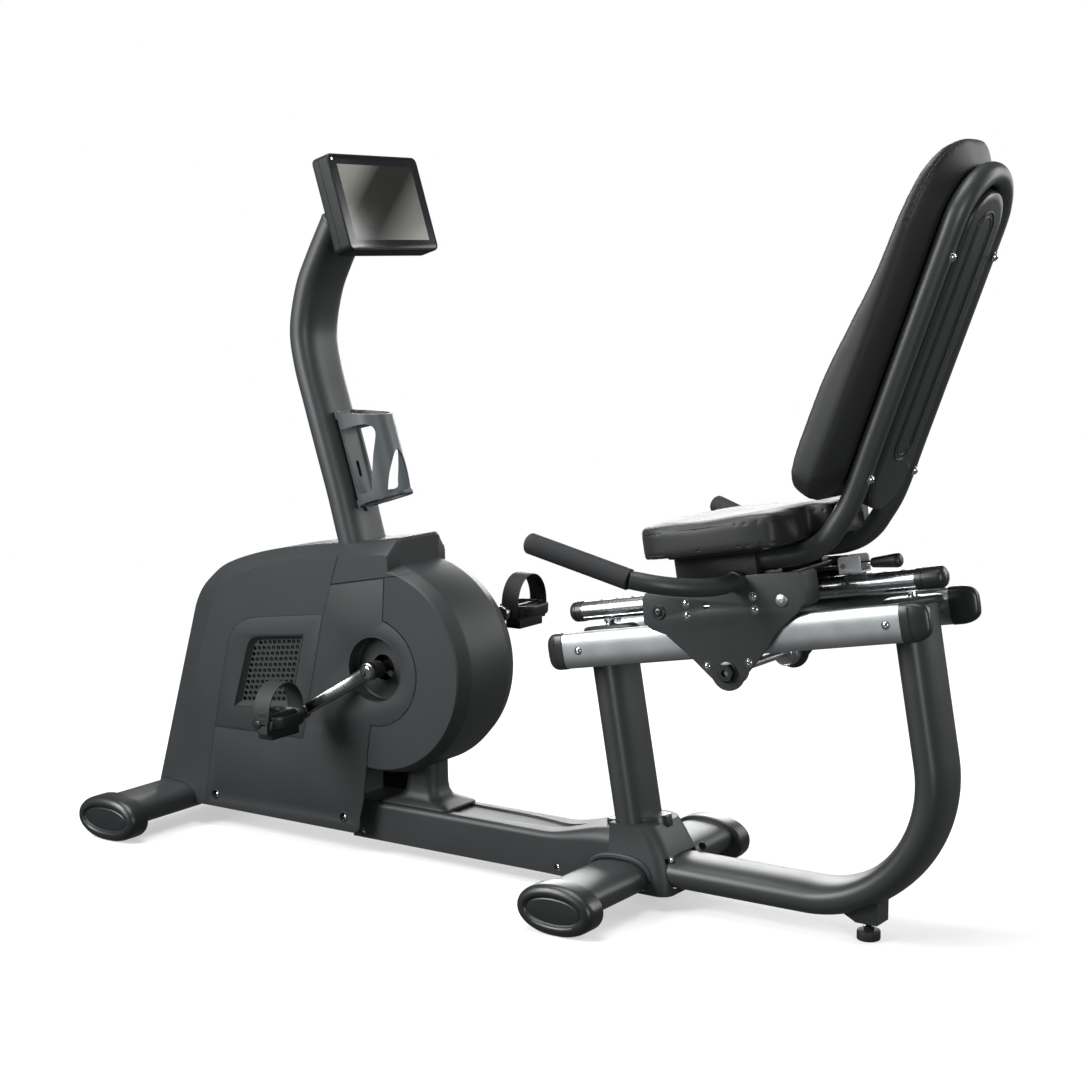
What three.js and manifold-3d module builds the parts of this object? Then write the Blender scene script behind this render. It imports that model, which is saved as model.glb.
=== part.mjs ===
// Recumbent exercise bike, built as an assembly of separate pieces.
// Millimetres, +Z up, +X from the pedals towards the seat, -Y is the rider's left-hand side.
// The origin of the finished object is the bottom centre of its bounding box.
import * as THREE from 'three';
import { mergeVertices } from 'three/addons/utils/BufferGeometryUtils.js';
import { ConvexGeometry } from 'three/addons/geometries/ConvexGeometry.js';
import Module from 'manifold-3d';

const wasm = await Module();
wasm.setup();

// ---------------------------------------------------------------- driving dimensions
const GAP = 0.3;                    // clearance left between pieces that touch
const WALL = 3;                     // steel tube wall
const REAR_FOOT_X = -25;            // the bike is drawn around this frame, then shifted
const FRONT_FOOT_X = -1118;
const FOOT_HALF_LENGTH = 300;
const FOOT_TUBE_Z = 54;
const TUBE = { width: 120, height: 60 };          // flat-oval frame tube, wide across the bike
const FOOT_CAP = { width: 160, height: 93.5, depth: 48, flat: 1.5 };
const BEAM = { halfWidth: 50, bottom: 31, top: 80 };
const COVER = { halfWidth: 60, bottom: 28, top: 106, wall: 3.5 };
const HOUSING = { face: 95, shoulder: 62, wall: 4, bottom: 45 };
const CRANK = { x: -574.5, z: 383, radius: 170, angle: 32.5, armInner: 80, armOuter: 120 };
const DRUM = { radius: 211, faceRadius: 200 };
const FLYWHEEL = { x: -880, z: 330, radius: 135, pulley: 27 };
const DRIVE_PULLEY_RADIUS = 112.5;
const PEDAL = { y: 216, length: 98, width: 84, axle: 7, strapRise: 62 };
const SLOPE = 10.1;                 // degrees that the rails rise towards the back
const RAIL_Z0 = 492;                // height of the rail centreline above the frame's X = 0
const RAIL = { y: 103.5, width: 28, height: 66, front: -122, rear: 548.5 };
const GUIDE = { n: 60.6, radius: 18.5, front: -136, rear: 539 };
const POST_S = -86;                 // seat post and rear bow, measured along the rails
const BOW_S = 526;
const BOW = { z: 65, radius: 230, centreX: 336 };
const PLATE = { inner: 120, thickness: 5 };       // side plates of the seat carriage
const TRAY = { front: 110, rear: 330, bottom: 92, top: 100 };
const LEVER = { s: 412, n: 96, rod: 47, knob: 56 };
const SEAT = { front: 98, rear: 432, notch: 384, halfWidth: 200, panTop: 153.6, top: 213, edge: 9 };
const BACK = { x: 430, z: 767, angle: 20.1, legY: 89.6, tube: 19, legN: 129, archU: 500 };
const BACKREST = { halfWidth: 150, top: 638, bottom: -6, back: -20.5, shellTop: 566 };
const DISPLAY = { x: -612, z: 1287.5, tilt: 17.6, width: 280, height: 192, depth: 41 };
const MAST_TOP = { x: -712, z: 1250 };
const HINGE = { x: -668, z: 1268 };               // tilt axis of the display
const HANDLE = { tube: 16, grip: 18.5 };
const CAGE = { x: -725, z: 780, lean: 17.5, axis: 97, radius: 44, low: -105, high: 85 };
const ROLLER = { s: 218.2, n: -58.2, radius: 24.6 };
const LEVEL_FOOT_X = 444;
const BOX = { minX: -1198, maxX: 651.6 };         // length of the whole bike
const ORIGIN_SHIFT = -(BOX.minX + BOX.maxX) / 2;

const rad = THREE.MathUtils.degToRad;
const cosS = Math.cos(rad(SLOPE));
const sinS = Math.sin(rad(SLOPE));

// ---------------------------------------------------------------- materials
const finish = (color, roughness, metalness) =>
  new THREE.MeshStandardMaterial({ color, roughness, metalness });
const FINISH = {
  frame: finish(0x4a4a49, 0.5, 0.6),
  housing: finish(0x34383a, 0.6, 0.05),
  cap: finish(0x232627, 0.45, 0.05),
  rail: finish(0xaeb3b6, 0.38, 0.85),
  guide: finish(0x9da3a6, 0.3, 0.9),
  chrome: finish(0xc8cccd, 0.15, 1.0),
  steel: finish(0x8b8f91, 0.35, 0.9),
  vinyl: finish(0x17191a, 0.5, 0.0),
  foam: finish(0x1d1f20, 0.8, 0.0),
  black: finish(0x141516, 0.5, 0.0),
  grey: finish(0x7d8386, 0.5, 0.1),
  glass: finish(0x050607, 0.08, 0.0),
  lever: finish(0xb9bdbf, 0.5, 0.1),
};

// ---------------------------------------------------------------- solids and booleans
function solid(geometry) {
  const plain = geometry.clone();
  plain.deleteAttribute('normal');
  plain.deleteAttribute('uv');
  const merged = mergeVertices(plain, 1e-3);
  const mesh = new wasm.Mesh({
    numProp: 3,
    vertProperties: new Float32Array(merged.attributes.position.array),
    triVerts: new Uint32Array(merged.index.array),
  });
  mesh.merge();
  return new wasm.Manifold(mesh);
}

function geometryOf(manifold) {
  const mesh = manifold.getMesh();
  const geometry = new THREE.BufferGeometry();
  geometry.setAttribute('position', new THREE.BufferAttribute(mesh.vertProperties, 3));
  geometry.setIndex(new THREE.BufferAttribute(mesh.triVerts, 1));
  return geometry;
}

const join = (...geometries) =>
  geometryOf(geometries.map(solid).reduce((whole, part) => whole.add(part)));
const cut = (geometry, ...tools) =>
  geometryOf(tools.map(solid).reduce((whole, tool) => whole.subtract(tool), solid(geometry)));
const common = (a, b) => geometryOf(solid(a).intersect(solid(b)));

// ---------------------------------------------------------------- shapes
const points2 = (pairs) => pairs.map(([x, y]) => new THREE.Vector2(x, y));
const outline = (pairs) => new THREE.Shape(points2(pairs));

// A flat oval: a superellipse, 2 is an ellipse and larger exponents are boxier.
function ovalPoints(width, height, exponent, count) {
  const corner = (value) => Math.sign(value) * Math.abs(value) ** (2 / exponent);
  return Array.from({ length: count }, (_, i) => {
    const angle = (i / count) * 2 * Math.PI;
    return [(width / 2) * corner(Math.cos(angle)), (height / 2) * corner(Math.sin(angle))];
  });
}

function ovalShape(width, height, { exponent = 2.5, count = 16, wall = 0 } = {}) {
  const shape = outline(ovalPoints(width, height, exponent, count));
  if (wall > 0) {
    const inner = ovalPoints(width - 2 * wall, height - 2 * wall, exponent, count);
    shape.holes.push(new THREE.Path(points2(inner)));
  }
  return shape;
}

function arc(cx, cy, radius, from, to, count) {
  return Array.from({ length: count + 1 }, (_, i) => {
    const angle = rad(from + ((to - from) * i) / count);
    return [cx + radius * Math.cos(angle), cy + radius * Math.sin(angle)];
  });
}

function roundedRect(width, height, radius, cx = 0, cy = 0, steps = 5) {
  const x = width / 2 - radius;
  const y = height / 2 - radius;
  return [
    ...arc(cx + x, cy + y, radius, 0, 90, steps),
    ...arc(cx - x, cy + y, radius, 90, 180, steps),
    ...arc(cx - x, cy - y, radius, 180, 270, steps),
    ...arc(cx + x, cy - y, radius, 270, 360, steps),
  ];
}

// Extrusions: a side profile (X, Z) across the bike, a plan (X, Y) upwards,
// and a front view (Y, Z) along X.
function extrude(shape, depth, bevel = 0, bevelSegments = 1) {
  return new THREE.ExtrudeGeometry(shape, {
    depth: depth - 2 * bevel,
    curveSegments: 10,
    bevelEnabled: bevel > 0,
    bevelThickness: bevel,
    bevelSize: bevel,
    bevelOffset: -bevel,
    bevelSegments,
  }).translate(0, 0, bevel);
}
const across = (shape, yMin, yMax, bevel = 0) =>
  extrude(shape, yMax - yMin, bevel).rotateX(Math.PI / 2).translate(0, yMax, 0);
const upward = (shape, zMin, zMax, bevel = 0) =>
  extrude(shape, zMax - zMin, bevel).translate(0, 0, zMin);
const along = (shape, xMin, xMax, bevel = 0) =>
  extrude(shape, xMax - xMin, bevel).rotateX(Math.PI / 2).rotateZ(Math.PI / 2).translate(xMin, 0, 0);

const box = (x0, x1, y0, y1, z0, z1) =>
  new THREE.BoxGeometry(x1 - x0, y1 - y0, z1 - z0)
    .translate((x0 + x1) / 2, (y0 + y1) / 2, (z0 + z1) / 2);

// A round bar along Y, and a turned piece whose axis is Y: the profile is [radius, y].
const barY = (radius, y0, y1, x = 0, z = 0, sides = 24) =>
  new THREE.CylinderGeometry(radius, radius, y1 - y0, sides).translate(x, (y0 + y1) / 2, z);
const barX = (radius, x0, x1, z = 0, sides = 24) =>
  new THREE.CylinderGeometry(radius, radius, x1 - x0, sides).rotateZ(Math.PI / 2)
    .translate((x0 + x1) / 2, 0, z);
const barZ = (radius, z0, z1, x = 0, sides = 24) =>
  new THREE.CylinderGeometry(radius, radius, z1 - z0, sides).rotateX(Math.PI / 2)
    .translate(x, 0, (z0 + z1) / 2);
const turned = (profile, sides = 20) => new THREE.LatheGeometry(points2(profile), sides);

// A tube along a path of [x, y, z] points.
function tubeAlong(path, shape, steps) {
  const curve = new THREE.CatmullRomCurve3(path.map((p) => new THREE.Vector3(...p)), false, 'centripetal');
  return new THREE.ExtrudeGeometry(shape, { steps, extrudePath: curve, bevelEnabled: false });
}

// Moves every corner of an outline by a distance along its own normal.
function offsetOutline(pairs, distance) {
  const count = pairs.length;
  const area = pairs.reduce((sum, [x, y], i) => {
    const [nx, ny] = pairs[(i + 1) % count];
    return sum + x * ny - nx * y;
  }, 0);
  const sign = Math.sign(area) * distance;
  return pairs.map(([x, y], i) => {
    const before = pairs[(i + count - 1) % count];
    const after = pairs[(i + 1) % count];
    const a = new THREE.Vector2(x - before[0], y - before[1]).normalize();
    const b = new THREE.Vector2(after[0] - x, after[1] - y).normalize();
    const normal = new THREE.Vector2(a.y + b.y, -a.x - b.x).normalize();
    const reach = sign / Math.max(0.5, normal.x * a.y - normal.y * a.x);
    return [x + normal.x * reach, y + normal.y * reach];
  });
}

// ---------------------------------------------------------------- assembly
const bike = new THREE.Group();
bike.position.x = ORIGIN_SHIFT;
const incline = new THREE.Group();          // X runs up the rails, Z stands square to them
incline.position.set(0, 0, RAIL_Z0);
incline.rotation.y = -rad(SLOPE);
const recline = new THREE.Group();          // Z runs up the backrest tubes, X points backwards
recline.position.set(BACK.x, 0, BACK.z);
recline.rotation.y = rad(BACK.angle);
const screen = new THREE.Group();         // X is the normal of the screen
screen.position.set(DISPLAY.x, 0, DISPLAY.z);
screen.rotation.y = -rad(DISPLAY.tilt);
bike.add(incline, recline, screen);

function add(name, geometry, material, parent = bike) {
  const mesh = new THREE.Mesh(geometry, material);
  mesh.name = name;
  parent.add(mesh);
  return mesh;
}
const SIDES = [['left', -1], ['right', 1]];
function mirrorY(geometry, side) {
  if (side < 0) return geometry;
  const flipped = (geometry.index ? geometry.clone() : mergeVertices(geometry)).scale(1, -1, 1);
  const faces = flipped.index.array;
  for (let i = 0; i < faces.length; i += 3) [faces[i], faces[i + 1]] = [faces[i + 1], faces[i]];
  return flipped;
}
// Builds a piece for the left side and its mirror image for the right.
function addPair(name, geometry, material, parent = bike) {
  for (const [label, side] of SIDES) add(`${name}_${label}`, mirrorY(geometry, side), material, parent);
}

// A point of the sloped rail frame, in the bike's frame.
const sloped = (s, n) => [s * cosS - n * sinS, RAIL_Z0 + s * sinS + n * cosS];

// ---------------------------------------------------------------- base frame
function footTube(x) {
  const tube = ovalShape(TUBE.width, TUBE.height, { wall: WALL });
  const length = FOOT_HALF_LENGTH - FOOT_CAP.depth;
  return across(tube, -length, length).translate(x, 0, FOOT_TUBE_Z);
}

// Oval cap with a narrow flat underneath, so that the bike stands on a face and not on an edge.
function footCap(x) {
  const { width, height, depth, flat } = FOOT_CAP;
  const floor = flat - height / 2;
  const shape = outline(ovalPoints(width, height, 2.1, 24).map(([px, pz]) => [px, Math.max(pz, floor)]));
  const outer = -FOOT_HALF_LENGTH;
  return across(shape, outer, outer + depth - GAP, 6).translate(x, 0, -floor);
}

function buildBase() {
  for (const [label, x] of [['front', FRONT_FOOT_X], ['rear', REAR_FOOT_X]]) {
    add(`${label}_foot_tube`, footTube(x), FINISH.frame);
    addPair(`${label}_foot_cap`, footCap(x), FINISH.cap);
  }
  const reach = TUBE.width / 2 + GAP;
  const beam = ovalShape(2 * BEAM.halfWidth, BEAM.top - BEAM.bottom, { exponent: 6, wall: WALL });
  add('main_beam', along(beam, FRONT_FOOT_X + reach, REAR_FOOT_X - reach)
    .translate(0, 0, (BEAM.top + BEAM.bottom) / 2), FINISH.frame);
}

// ---------------------------------------------------------------- seat post and rear bow
const crossBar = (s) => barY(12, -(RAIL.y - RAIL.width / 2 - GAP), RAIL.y - RAIL.width / 2 - GAP, s, 0, 20);
const POST_TOP_N = 20;

function buildSeatPost() {
  const tube = ovalShape(TUBE.height, TUBE.width, { wall: WALL });
  const post = upward(tube, -392, POST_TOP_N).translate(POST_S, 0, 0);
  add('seat_post', join(post, crossBar(POST_S)), FINISH.frame, incline);
}

function bowPath() {
  const [topX, topZ] = sloped(BOW_S, POST_TOP_N);
  const bend = arc(BOW.centreX, BOW.z + BOW.radius, BOW.radius, SLOPE, -90, 10);
  const last = REAR_FOOT_X + TUBE.width / 2 + GAP + 0.4;
  const run = [280, 200, 110, last].map((x) => [x, BOW.z]);
  return [[topX, topZ], [topX + 22, topZ - 125], ...bend, ...run].map(([x, z]) => [x, 0, z]);
}

function buildRearBow() {
  const tube = ovalShape(TUBE.width, TUBE.height, { wall: WALL });
  const bow = tubeAlong(bowPath(), tube, 18);
  const bar = crossBar(BOW_S).rotateY(-rad(SLOPE)).translate(0, 0, RAIL_Z0);
  const x = LEVEL_FOOT_X;
  const bracket = cut(box(x - 44, x + 26, -24, 24, 34, 80), barZ(6.4, 20, 60, x));
  const under = cut(bracket, tubeAlong(bowPath(), ovalShape(TUBE.width - 2, TUBE.height - 2), 18));
  add('rear_bow_tube', join(bow, bar, under), FINISH.frame);
  const pad = turned([[0, 0], [19, 0], [21, 3], [21, 16], [18, 19], [6, 19], [6, 52], [0, 52]]);
  add('leveling_foot', pad.rotateX(Math.PI / 2).translate(x, 0, 0), FINISH.black);
}

// ---------------------------------------------------------------- plastic covers on the base
function coverProfile(inset, bottom) {
  const w = COVER.halfWidth - inset;
  const top = COVER.top - inset;
  return [[-w, bottom], [w, bottom], [w, top - 12], [w - 12, top], [12 - w, top], [-w, top - 12]];
}

function buildBeamCover() {
  const front = -660;
  const rear = -52;
  const shell = cut(
    along(outline(coverProfile(0, COVER.bottom)), front, rear),
    along(outline(coverProfile(COVER.wall, COVER.bottom - 5)), front - 5, rear + 5),
    footRelief(REAR_FOOT_X),
  );
  add('beam_cover', shell, FINISH.housing);
}

const footRelief = (x) =>
  across(ovalShape(TUBE.width + 2, TUBE.height + 2), -260, 260).translate(x, 0, FOOT_TUBE_Z);

function coneOf(bottom, top, zBottom, zTop, lean) {
  const ring = (pairs, z, shift) => pairs.map(([x, y]) => new THREE.Vector3(x + shift, y, z + (x * lean)));
  return new ConvexGeometry([...ring(bottom, zBottom, 0), ...ring(top, zTop, 0)]);
}

function buildPostCover() {
  const front = -51.4;
  const rear = 78;
  const middle = (front + rear) / 2;
  const length = rear - front;
  const hull = (inset, drop) => {
    const low = roundedRect(length - 2 * inset, 148 - 2 * inset, 22, middle, 0, 3);
    const high = roundedRect(82 - 2 * inset, 132 - 2 * inset, 28, REAR_FOOT_X + 14, 0, 4);
    return coneOf(low, high, COVER.bottom - drop, 150 - inset, 0);
  };
  const [px, pz] = sloped(POST_S, -330);
  const post = upward(ovalShape(TUBE.height + 2, TUBE.width + 2), -200, 200)
    .rotateY(-rad(SLOPE)).translate(px, 0, pz);
  const bowRelief = along(ovalShape(TUBE.width + 3, TUBE.height + 3), 20, 200).translate(0, 0, BOW.z);
  const shell = cut(
    common(hull(0, 0), box(front, rear + 5, -90, 90, 0, 200)),
    hull(COVER.wall, 8), post, footRelief(REAR_FOOT_X), bowRelief,
    box(front - 1, front + 40, -COVER.halfWidth - 0.5, COVER.halfWidth + 0.5, 0, COVER.top - 4),
  );
  add('post_cover', shell, FINISH.housing);
}

function buildDrumSupport() {
  const x = -517;
  const base = coneOf(
    roundedRect(166, 108, 12, x, 0, 3), roundedRect(120, 84, 12, x, 0, 3),
    COVER.top + GAP, COVER.top + 16, 0,
  );
  const pillar = upward(outline(roundedRect(73, 66, 14, x, 0, 4)), COVER.top + 8, 215);
  const drum = barY(DRUM.radius + GAP, -120, 120, CRANK.x, CRANK.z, 96);
  add('drum_support', cut(join(base, pillar), drum), FINISH.housing);
}

// ---------------------------------------------------------------- rails
function buildRails() {
  const { y, width, height, front, rear } = RAIL;
  const section = ovalShape(width, height, { exponent: 3.2, wall: 2.5 });
  add('rail_left', along(section, front, rear).translate(0, -y, 0), FINISH.rail, incline);
  add('rail_right', along(section, front, rear).translate(0, y, 0), FINISH.rail, incline);
  // The end caps are rounded in side view and stand a little proud of the rail.
  const cap = (length) => {
    const end = height / 2 + 1;
    const side = [[0, -end], ...arc(length - 20, 0, end, -60, 60, 6).map(([px, pz]) =>
      [Math.min(px - 13, length), pz]), [0, end]];
    return across(outline(side), -width / 2 - 1, width / 2 + 1, 4);
  };
  const rearCap = cap(48).translate(rear + GAP, -y, 0);
  const frontCap = cap(38).rotateZ(Math.PI).translate(front - GAP, -y, 0);
  addPair('rail_cap_front', frontCap, FINISH.cap, incline);
  addPair('rail_cap_rear', rearCap, FINISH.cap, incline);
}

function buildGuide() {
  const { n, radius, front, rear } = GUIDE;
  add('guide_rail', barX(radius, front, rear, n, 24), FINISH.guide, incline);
  const cap = (length) => turned([[0, 0], [radius + 1, 0], [radius + 1, length - 8], [radius - 6, length], [0, length]])
    .rotateZ(-Math.PI / 2);
  add('guide_cap_front', cap(30).rotateZ(Math.PI).translate(front - GAP, 0, n), FINISH.cap, incline);
  add('guide_cap_rear', cap(54).translate(rear + GAP, 0, n), FINISH.cap, incline);
  // A domed plug closes each upright tube and carries the stud that holds the guide rail.
  for (const [name, s] of [['post_plug', POST_S], ['bow_plug', BOW_S]]) {
    const dome = upward(ovalShape(TUBE.height - 2, TUBE.width - 2, { exponent: 2.2 }), POST_TOP_N + GAP, 33, 5);
    const stud = barZ(9, 30, n - radius - GAP, 0, 16);
    add(name, join(dome, stud).translate(s, 0, 0), FINISH.cap, incline);
  }
}

// ---------------------------------------------------------------- mast
const MAST_LINE = [
  [-659, 572], [-680, 634], [-704, 717], [-731, 800], [-761, 894], [-785, 973],
  [-794, 1041], [-778, 1120], [-751, 1179], [MAST_TOP.x, MAST_TOP.z],
];

function mastTube(growth = 0, wall = 0) {
  const shape = ovalShape(TUBE.width + 2 * growth, TUBE.height + 2 * growth, { wall });
  return tubeAlong(MAST_LINE.map(([x, z]) => [x, 0, z]), shape, 16);
}

function buildMast() {
  add('mast', mastTube(0, WALL), FINISH.frame);
  // Bottle cage: a wrap of plastic round the bottle, held on a channel on the mast's rear side.
  const r = CAGE.radius;
  const wrap = cut(
    barZ(r, CAGE.low, CAGE.high, CAGE.axis, 36),
    barZ(r - 4, CAGE.low - 5, CAGE.high + 5, CAGE.axis, 36),
    box(0, CAGE.axis - 26, -60, 60, CAGE.low - 9, CAGE.high + 9),
    across(outline([[CAGE.axis - 22, -72], [CAGE.axis + 6, -76], [CAGE.axis + 10, 30], [CAGE.axis - 10, 62],
      [CAGE.axis - 22, 62]]), -60, 60),
    along(outline([[-18, -84], [18, -84], [14, -20], [0, 12], [-14, -20]]), CAGE.axis, CAGE.axis + 60),
  );
  const wings = cut(
    box(46, CAGE.axis - 12, -r, r, CAGE.low, CAGE.high),
    box(40, CAGE.axis, 4 - r, r - 4, CAGE.low - 5, CAGE.high + 5),
    box(52, CAGE.axis, -60, 60, CAGE.low + 26, CAGE.high - 30),
  );
  const spine = cut(box(32, 48, -r, r, CAGE.low, CAGE.high), box(36, 60, 6 - r, r - 6, CAGE.low - 5, CAGE.high + 5));
  const shelf = box(34, CAGE.axis + 10, -12, 12, CAGE.low, CAGE.low + 4);
  const ends = box(40, CAGE.axis, 4.5 - r, r - 4.5, CAGE.low, CAGE.low + 4);
  const cage = join(wrap, wings, spine, shelf, ends);
  const holder = new THREE.Group();
  holder.position.set(CAGE.x, 0, CAGE.z);
  holder.rotation.y = -rad(CAGE.lean);
  bike.add(holder);
  add('bottle_cage', cage, FINISH.grey, holder);
}

// ---------------------------------------------------------------- housing
// Silhouette of the housing between its shoulders, and of its flat side faces.
const SHELL_OUTER = [
  [-1197, HOUSING.bottom], [-1096, 389], [-1066, 480], [-1025, 528], [-971, 562], [-858, 595], [-683, 622],
  [-600, 626], [-590, 250], [-608, 116], [-629, HOUSING.bottom + 6], [-640, HOUSING.bottom],
];
const SHELL_FACE = [
  [-1131, HOUSING.bottom], [-1015, 426], [-986, 499], [-951, 532], [-898, 553], [-813, 576], [-677, 597],
  [-600, 606], [-594, 219], [-608, 116], [-629, HOUSING.bottom + 6], [-640, HOUSING.bottom],
];
const hullOf = (layers) => new ConvexGeometry(layers.flatMap(([pairs, y]) =>
  pairs.flatMap(([x, z]) => [new THREE.Vector3(x, y, z), new THREE.Vector3(x, -y, z)])));

function shellBlock(inset) {
  const open = (pairs) => offsetOutline(pairs, -inset).map(([x, z]) =>
    [x, inset > 0 && z < HOUSING.bottom + 5 ? z - 30 : z]);
  return hullOf([[open(SHELL_OUTER), HOUSING.shoulder - inset / 2], [open(SHELL_FACE), HOUSING.face - inset]]);
}

function drumBlock(inset) {
  const face = HOUSING.face - inset;
  const side = HOUSING.shoulder - inset / 2;
  const profile = [[0, -face], [DRUM.faceRadius - inset, -face], [DRUM.radius - inset, -side],
    [DRUM.radius - inset, side], [DRUM.faceRadius - inset, face], [0, face]];
  return turned(profile, 56).translate(CRANK.x, 0, CRANK.z);
}

function topBlock(inset) {
  const outer = [[-700, 540], [-700, 617], [-660, 623], [-544, 642], [-533, 638], [-533, 540]];
  const face = [[-700, 540], [-700, 592], [-660, 600], [-544, 612], [-540, 568], [-540, 540]];
  return hullOf([[offsetOutline(outer, -inset), HOUSING.shoulder - inset / 2],
    [offsetOutline(face, -inset), HOUSING.face - inset]]);
}

const SEAM_ARC = arc(-580, 378, 107, 76, -93, 12);
const GRILLE_AREA = [[-998, 218], [-961, 379], [-947, 421], [-915, 448], [-879, 459], [-703, 482], [-738, 321], [-760, 222]];
const TOP_AREA = [[-683, 542], [-549, 567], [-500, 576], [-500, 700], [-632, 700]];
const SIDE_AREA = [
  [-1036, 20], [-998, 218], [-760, 222], [-738, 321], [-703, 482], [-683, 542], [-549, 567], ...SEAM_ARC,
  [-594, 219], [-604, 116], [-606, 20],
];
const SEAM = 0.4;
const zone = (pairs, growth = 0) => across(outline(offsetOutline(pairs, growth)), -140, 140);

function buildHousing() {
  const skin = cut(join(shellBlock(0), drumBlock(0), topBlock(0)),
    shellBlock(HOUSING.wall), drumBlock(HOUSING.wall), topBlock(HOUSING.wall));
  const coverWay = along(outline([[-61, 0], [61, 0], [61, 95], [48, 107.5], [-48, 107.5], [-61, 95]]), -720, -560);
  const shell = cut(skin, mastTube(0.8), footRelief(FRONT_FOOT_X), coverWay,
    box(-1300, FRONT_FOOT_X, -120, 120, 20, 62));
  const drumZone = [[-549, 567], ...SEAM_ARC, [-594, 219], [-604, 116], [-300, 100], [-300, 700], [-500, 700]];
  const half = box(-1300, -200, -130, -SEAM, 0, 700);

  const leftHalf = common(shell, half);
  const grille = common(leftHalf, zone(GRILLE_AREA));
  const cup = cut(barY(68, -94.6, -62, CRANK.x, CRANK.z, 28), barY(64, -100, -65.5, CRANK.x, CRANK.z, 28));
  const side = cut(
    join(cut(common(leftHalf, zone(SIDE_AREA)), zone(GRILLE_AREA, SEAM), zone(TOP_AREA, SEAM),
      barY(66, -100, -60, CRANK.x, CRANK.z, 28)), cup),
    barY(26, -120, -50, CRANK.x, CRANK.z, 20),
  );
  const windows = [];
  const [rows, columns] = [5, 5];
  for (let row = 0; row < rows; row += 1) {
    for (let column = 0; column < columns; column += 1) {
      const x = -905 + column * 30 - row * 6.5;
      const z = 402 - row * 30 + column * 3.5;
      windows.push(box(x - 11, x + 11, -120, -70, z - 11, z + 11));
    }
  }
  addPair('grille', cut(grille, ...windows), FINISH.black);
  addPair('side_panel', side, FINISH.housing);
  add('top_cover', common(shell, zone(TOP_AREA)), FINISH.housing);
  add('drum_cover', cut(common(shell, zone(drumZone)), zone(TOP_AREA, SEAM), zone(SIDE_AREA, SEAM)), FINISH.housing);
  add('front_shell', cut(shell, zone(TOP_AREA, SEAM), zone(SIDE_AREA, SEAM), zone(GRILLE_AREA, SEAM),
    zone(drumZone, SEAM)), FINISH.housing);
}

// ---------------------------------------------------------------- inner frame and drive train
function buildInnerFrame() {
  const upright = across(outline([[-706, BEAM.top + GAP], [-661, BEAM.top + GAP], [-661, 570.8], [-706, 555.6]]),
    -40, 40);
  const bearingShell = barY(24, -38, 38, CRANK.x, CRANK.z, 28);
  const web = box(-670, CRANK.x, -14, 14, CRANK.z - 18, CRANK.z + 18);
  const crossPlate = box(-708, -694, -40, 72, 310, 350);
  const { x, z } = FLYWHEEL;
  const arms = [[-40, -34], [66, 72]].map(([y0, y1]) =>
    across(outline([[-696, 316], [-696, 344], [x, z + 16], ...arc(x, z, 16, 110, 250, 6), [x, z - 16]]), y0, y1));
  const axle = barY(6, -40, 72, x, z, 20);
  const bore = barY(10.4, -60, 60, CRANK.x, CRANK.z, 28);
  add('inner_frame', cut(join(upright, bearingShell, web, crossPlate, ...arms, axle), bore), FINISH.frame);
  add('brake_magnets', join(box(x - 60, x + 30, -33.7, -28, z + 10, z + 158), box(x - 60, x + 30, -30, 14, z + 139, z + 158)),
    FINISH.black);
}

function buildFlywheel() {
  const { x, z, radius, pulley } = FLYWHEEL;
  const bore = 6.5;
  const profile = [[bore, -27], [18, -27], [18, -14], [radius - 25, -14], [radius - 25, -24], [radius, -24], [radius, 4],
    [radius - 25, 4], [radius - 25, -6], [18, -6], [18, 45], [pulley, 45], [pulley, 61], [bore, 61], [bore, -27]];
  add('flywheel', turned(profile, 28).translate(x, 0, z), FINISH.steel);
  const r = DRIVE_PULLEY_RADIUS;
  const web = [[10.4, 44], [26, 44], [26, 50], [r - 10, 50], [r - 10, 46], [r, 46], [r, 60], [r - 10, 60], [r - 10, 56],
    [26, 56], [26, 61], [10.4, 61], [10.4, 44]];
  add('drive_pulley', turned(web, 28).translate(CRANK.x, 0, CRANK.z), FINISH.black);
  add('crank_axle', barY(10, 0.2 - CRANK.armInner, CRANK.armInner - 0.2, CRANK.x, CRANK.z, 24), FINISH.steel);
  add('drive_belt', buildBelt(), FINISH.black);
}

// The belt is a thin loop round both pulleys: two arcs joined by the outer tangents.
function beltOutline(extra) {
  const dx = FLYWHEEL.x - CRANK.x;
  const dz = FLYWHEEL.z - CRANK.z;
  const heading = THREE.MathUtils.radToDeg(Math.atan2(dz, dx));
  const spread = THREE.MathUtils.radToDeg(
    Math.acos((DRIVE_PULLEY_RADIUS - FLYWHEEL.pulley) / Math.hypot(dx, dz)));
  return [
    ...arc(CRANK.x, CRANK.z, DRIVE_PULLEY_RADIUS + extra, heading + spread, heading + 360 - spread, 28),
    ...arc(FLYWHEEL.x, FLYWHEEL.z, FLYWHEEL.pulley + extra, heading - spread, heading + spread, 14),
  ];
}
function buildBelt() {
  const loop = outline(beltOutline(3));
  loop.holes.push(new THREE.Path(points2(beltOutline(0.5))));
  return across(loop, 47, 59);
}

// ---------------------------------------------------------------- cranks and pedals
// Left-hand crank, drawn with its arm along +X from the axle, then turned to its angle.
function crankArm() {
  const { radius, armInner, armOuter } = CRANK;
  const end = armOuter + 20;
  const blade = [[-6, armOuter - 18], [44, armOuter - 16], [112, end - 8], [radius, end - 6],
    [radius, end + 8], [108, end + 6], [40, armOuter - 2], [-6, armOuter - 2]];
  return join(
    upward(outline(blade.map(([x, y]) => [x, -y])), -13.5, 13.5),
    barY(18, -armOuter, -armInner, 0, 0, 28),
    barY(16, -end - 8, -end + 6, radius, 0, 28),
    barY(PEDAL.axle, -PEDAL.y - PEDAL.length / 2 + 4, -end, radius, 0, 20),
  );
}

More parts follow.
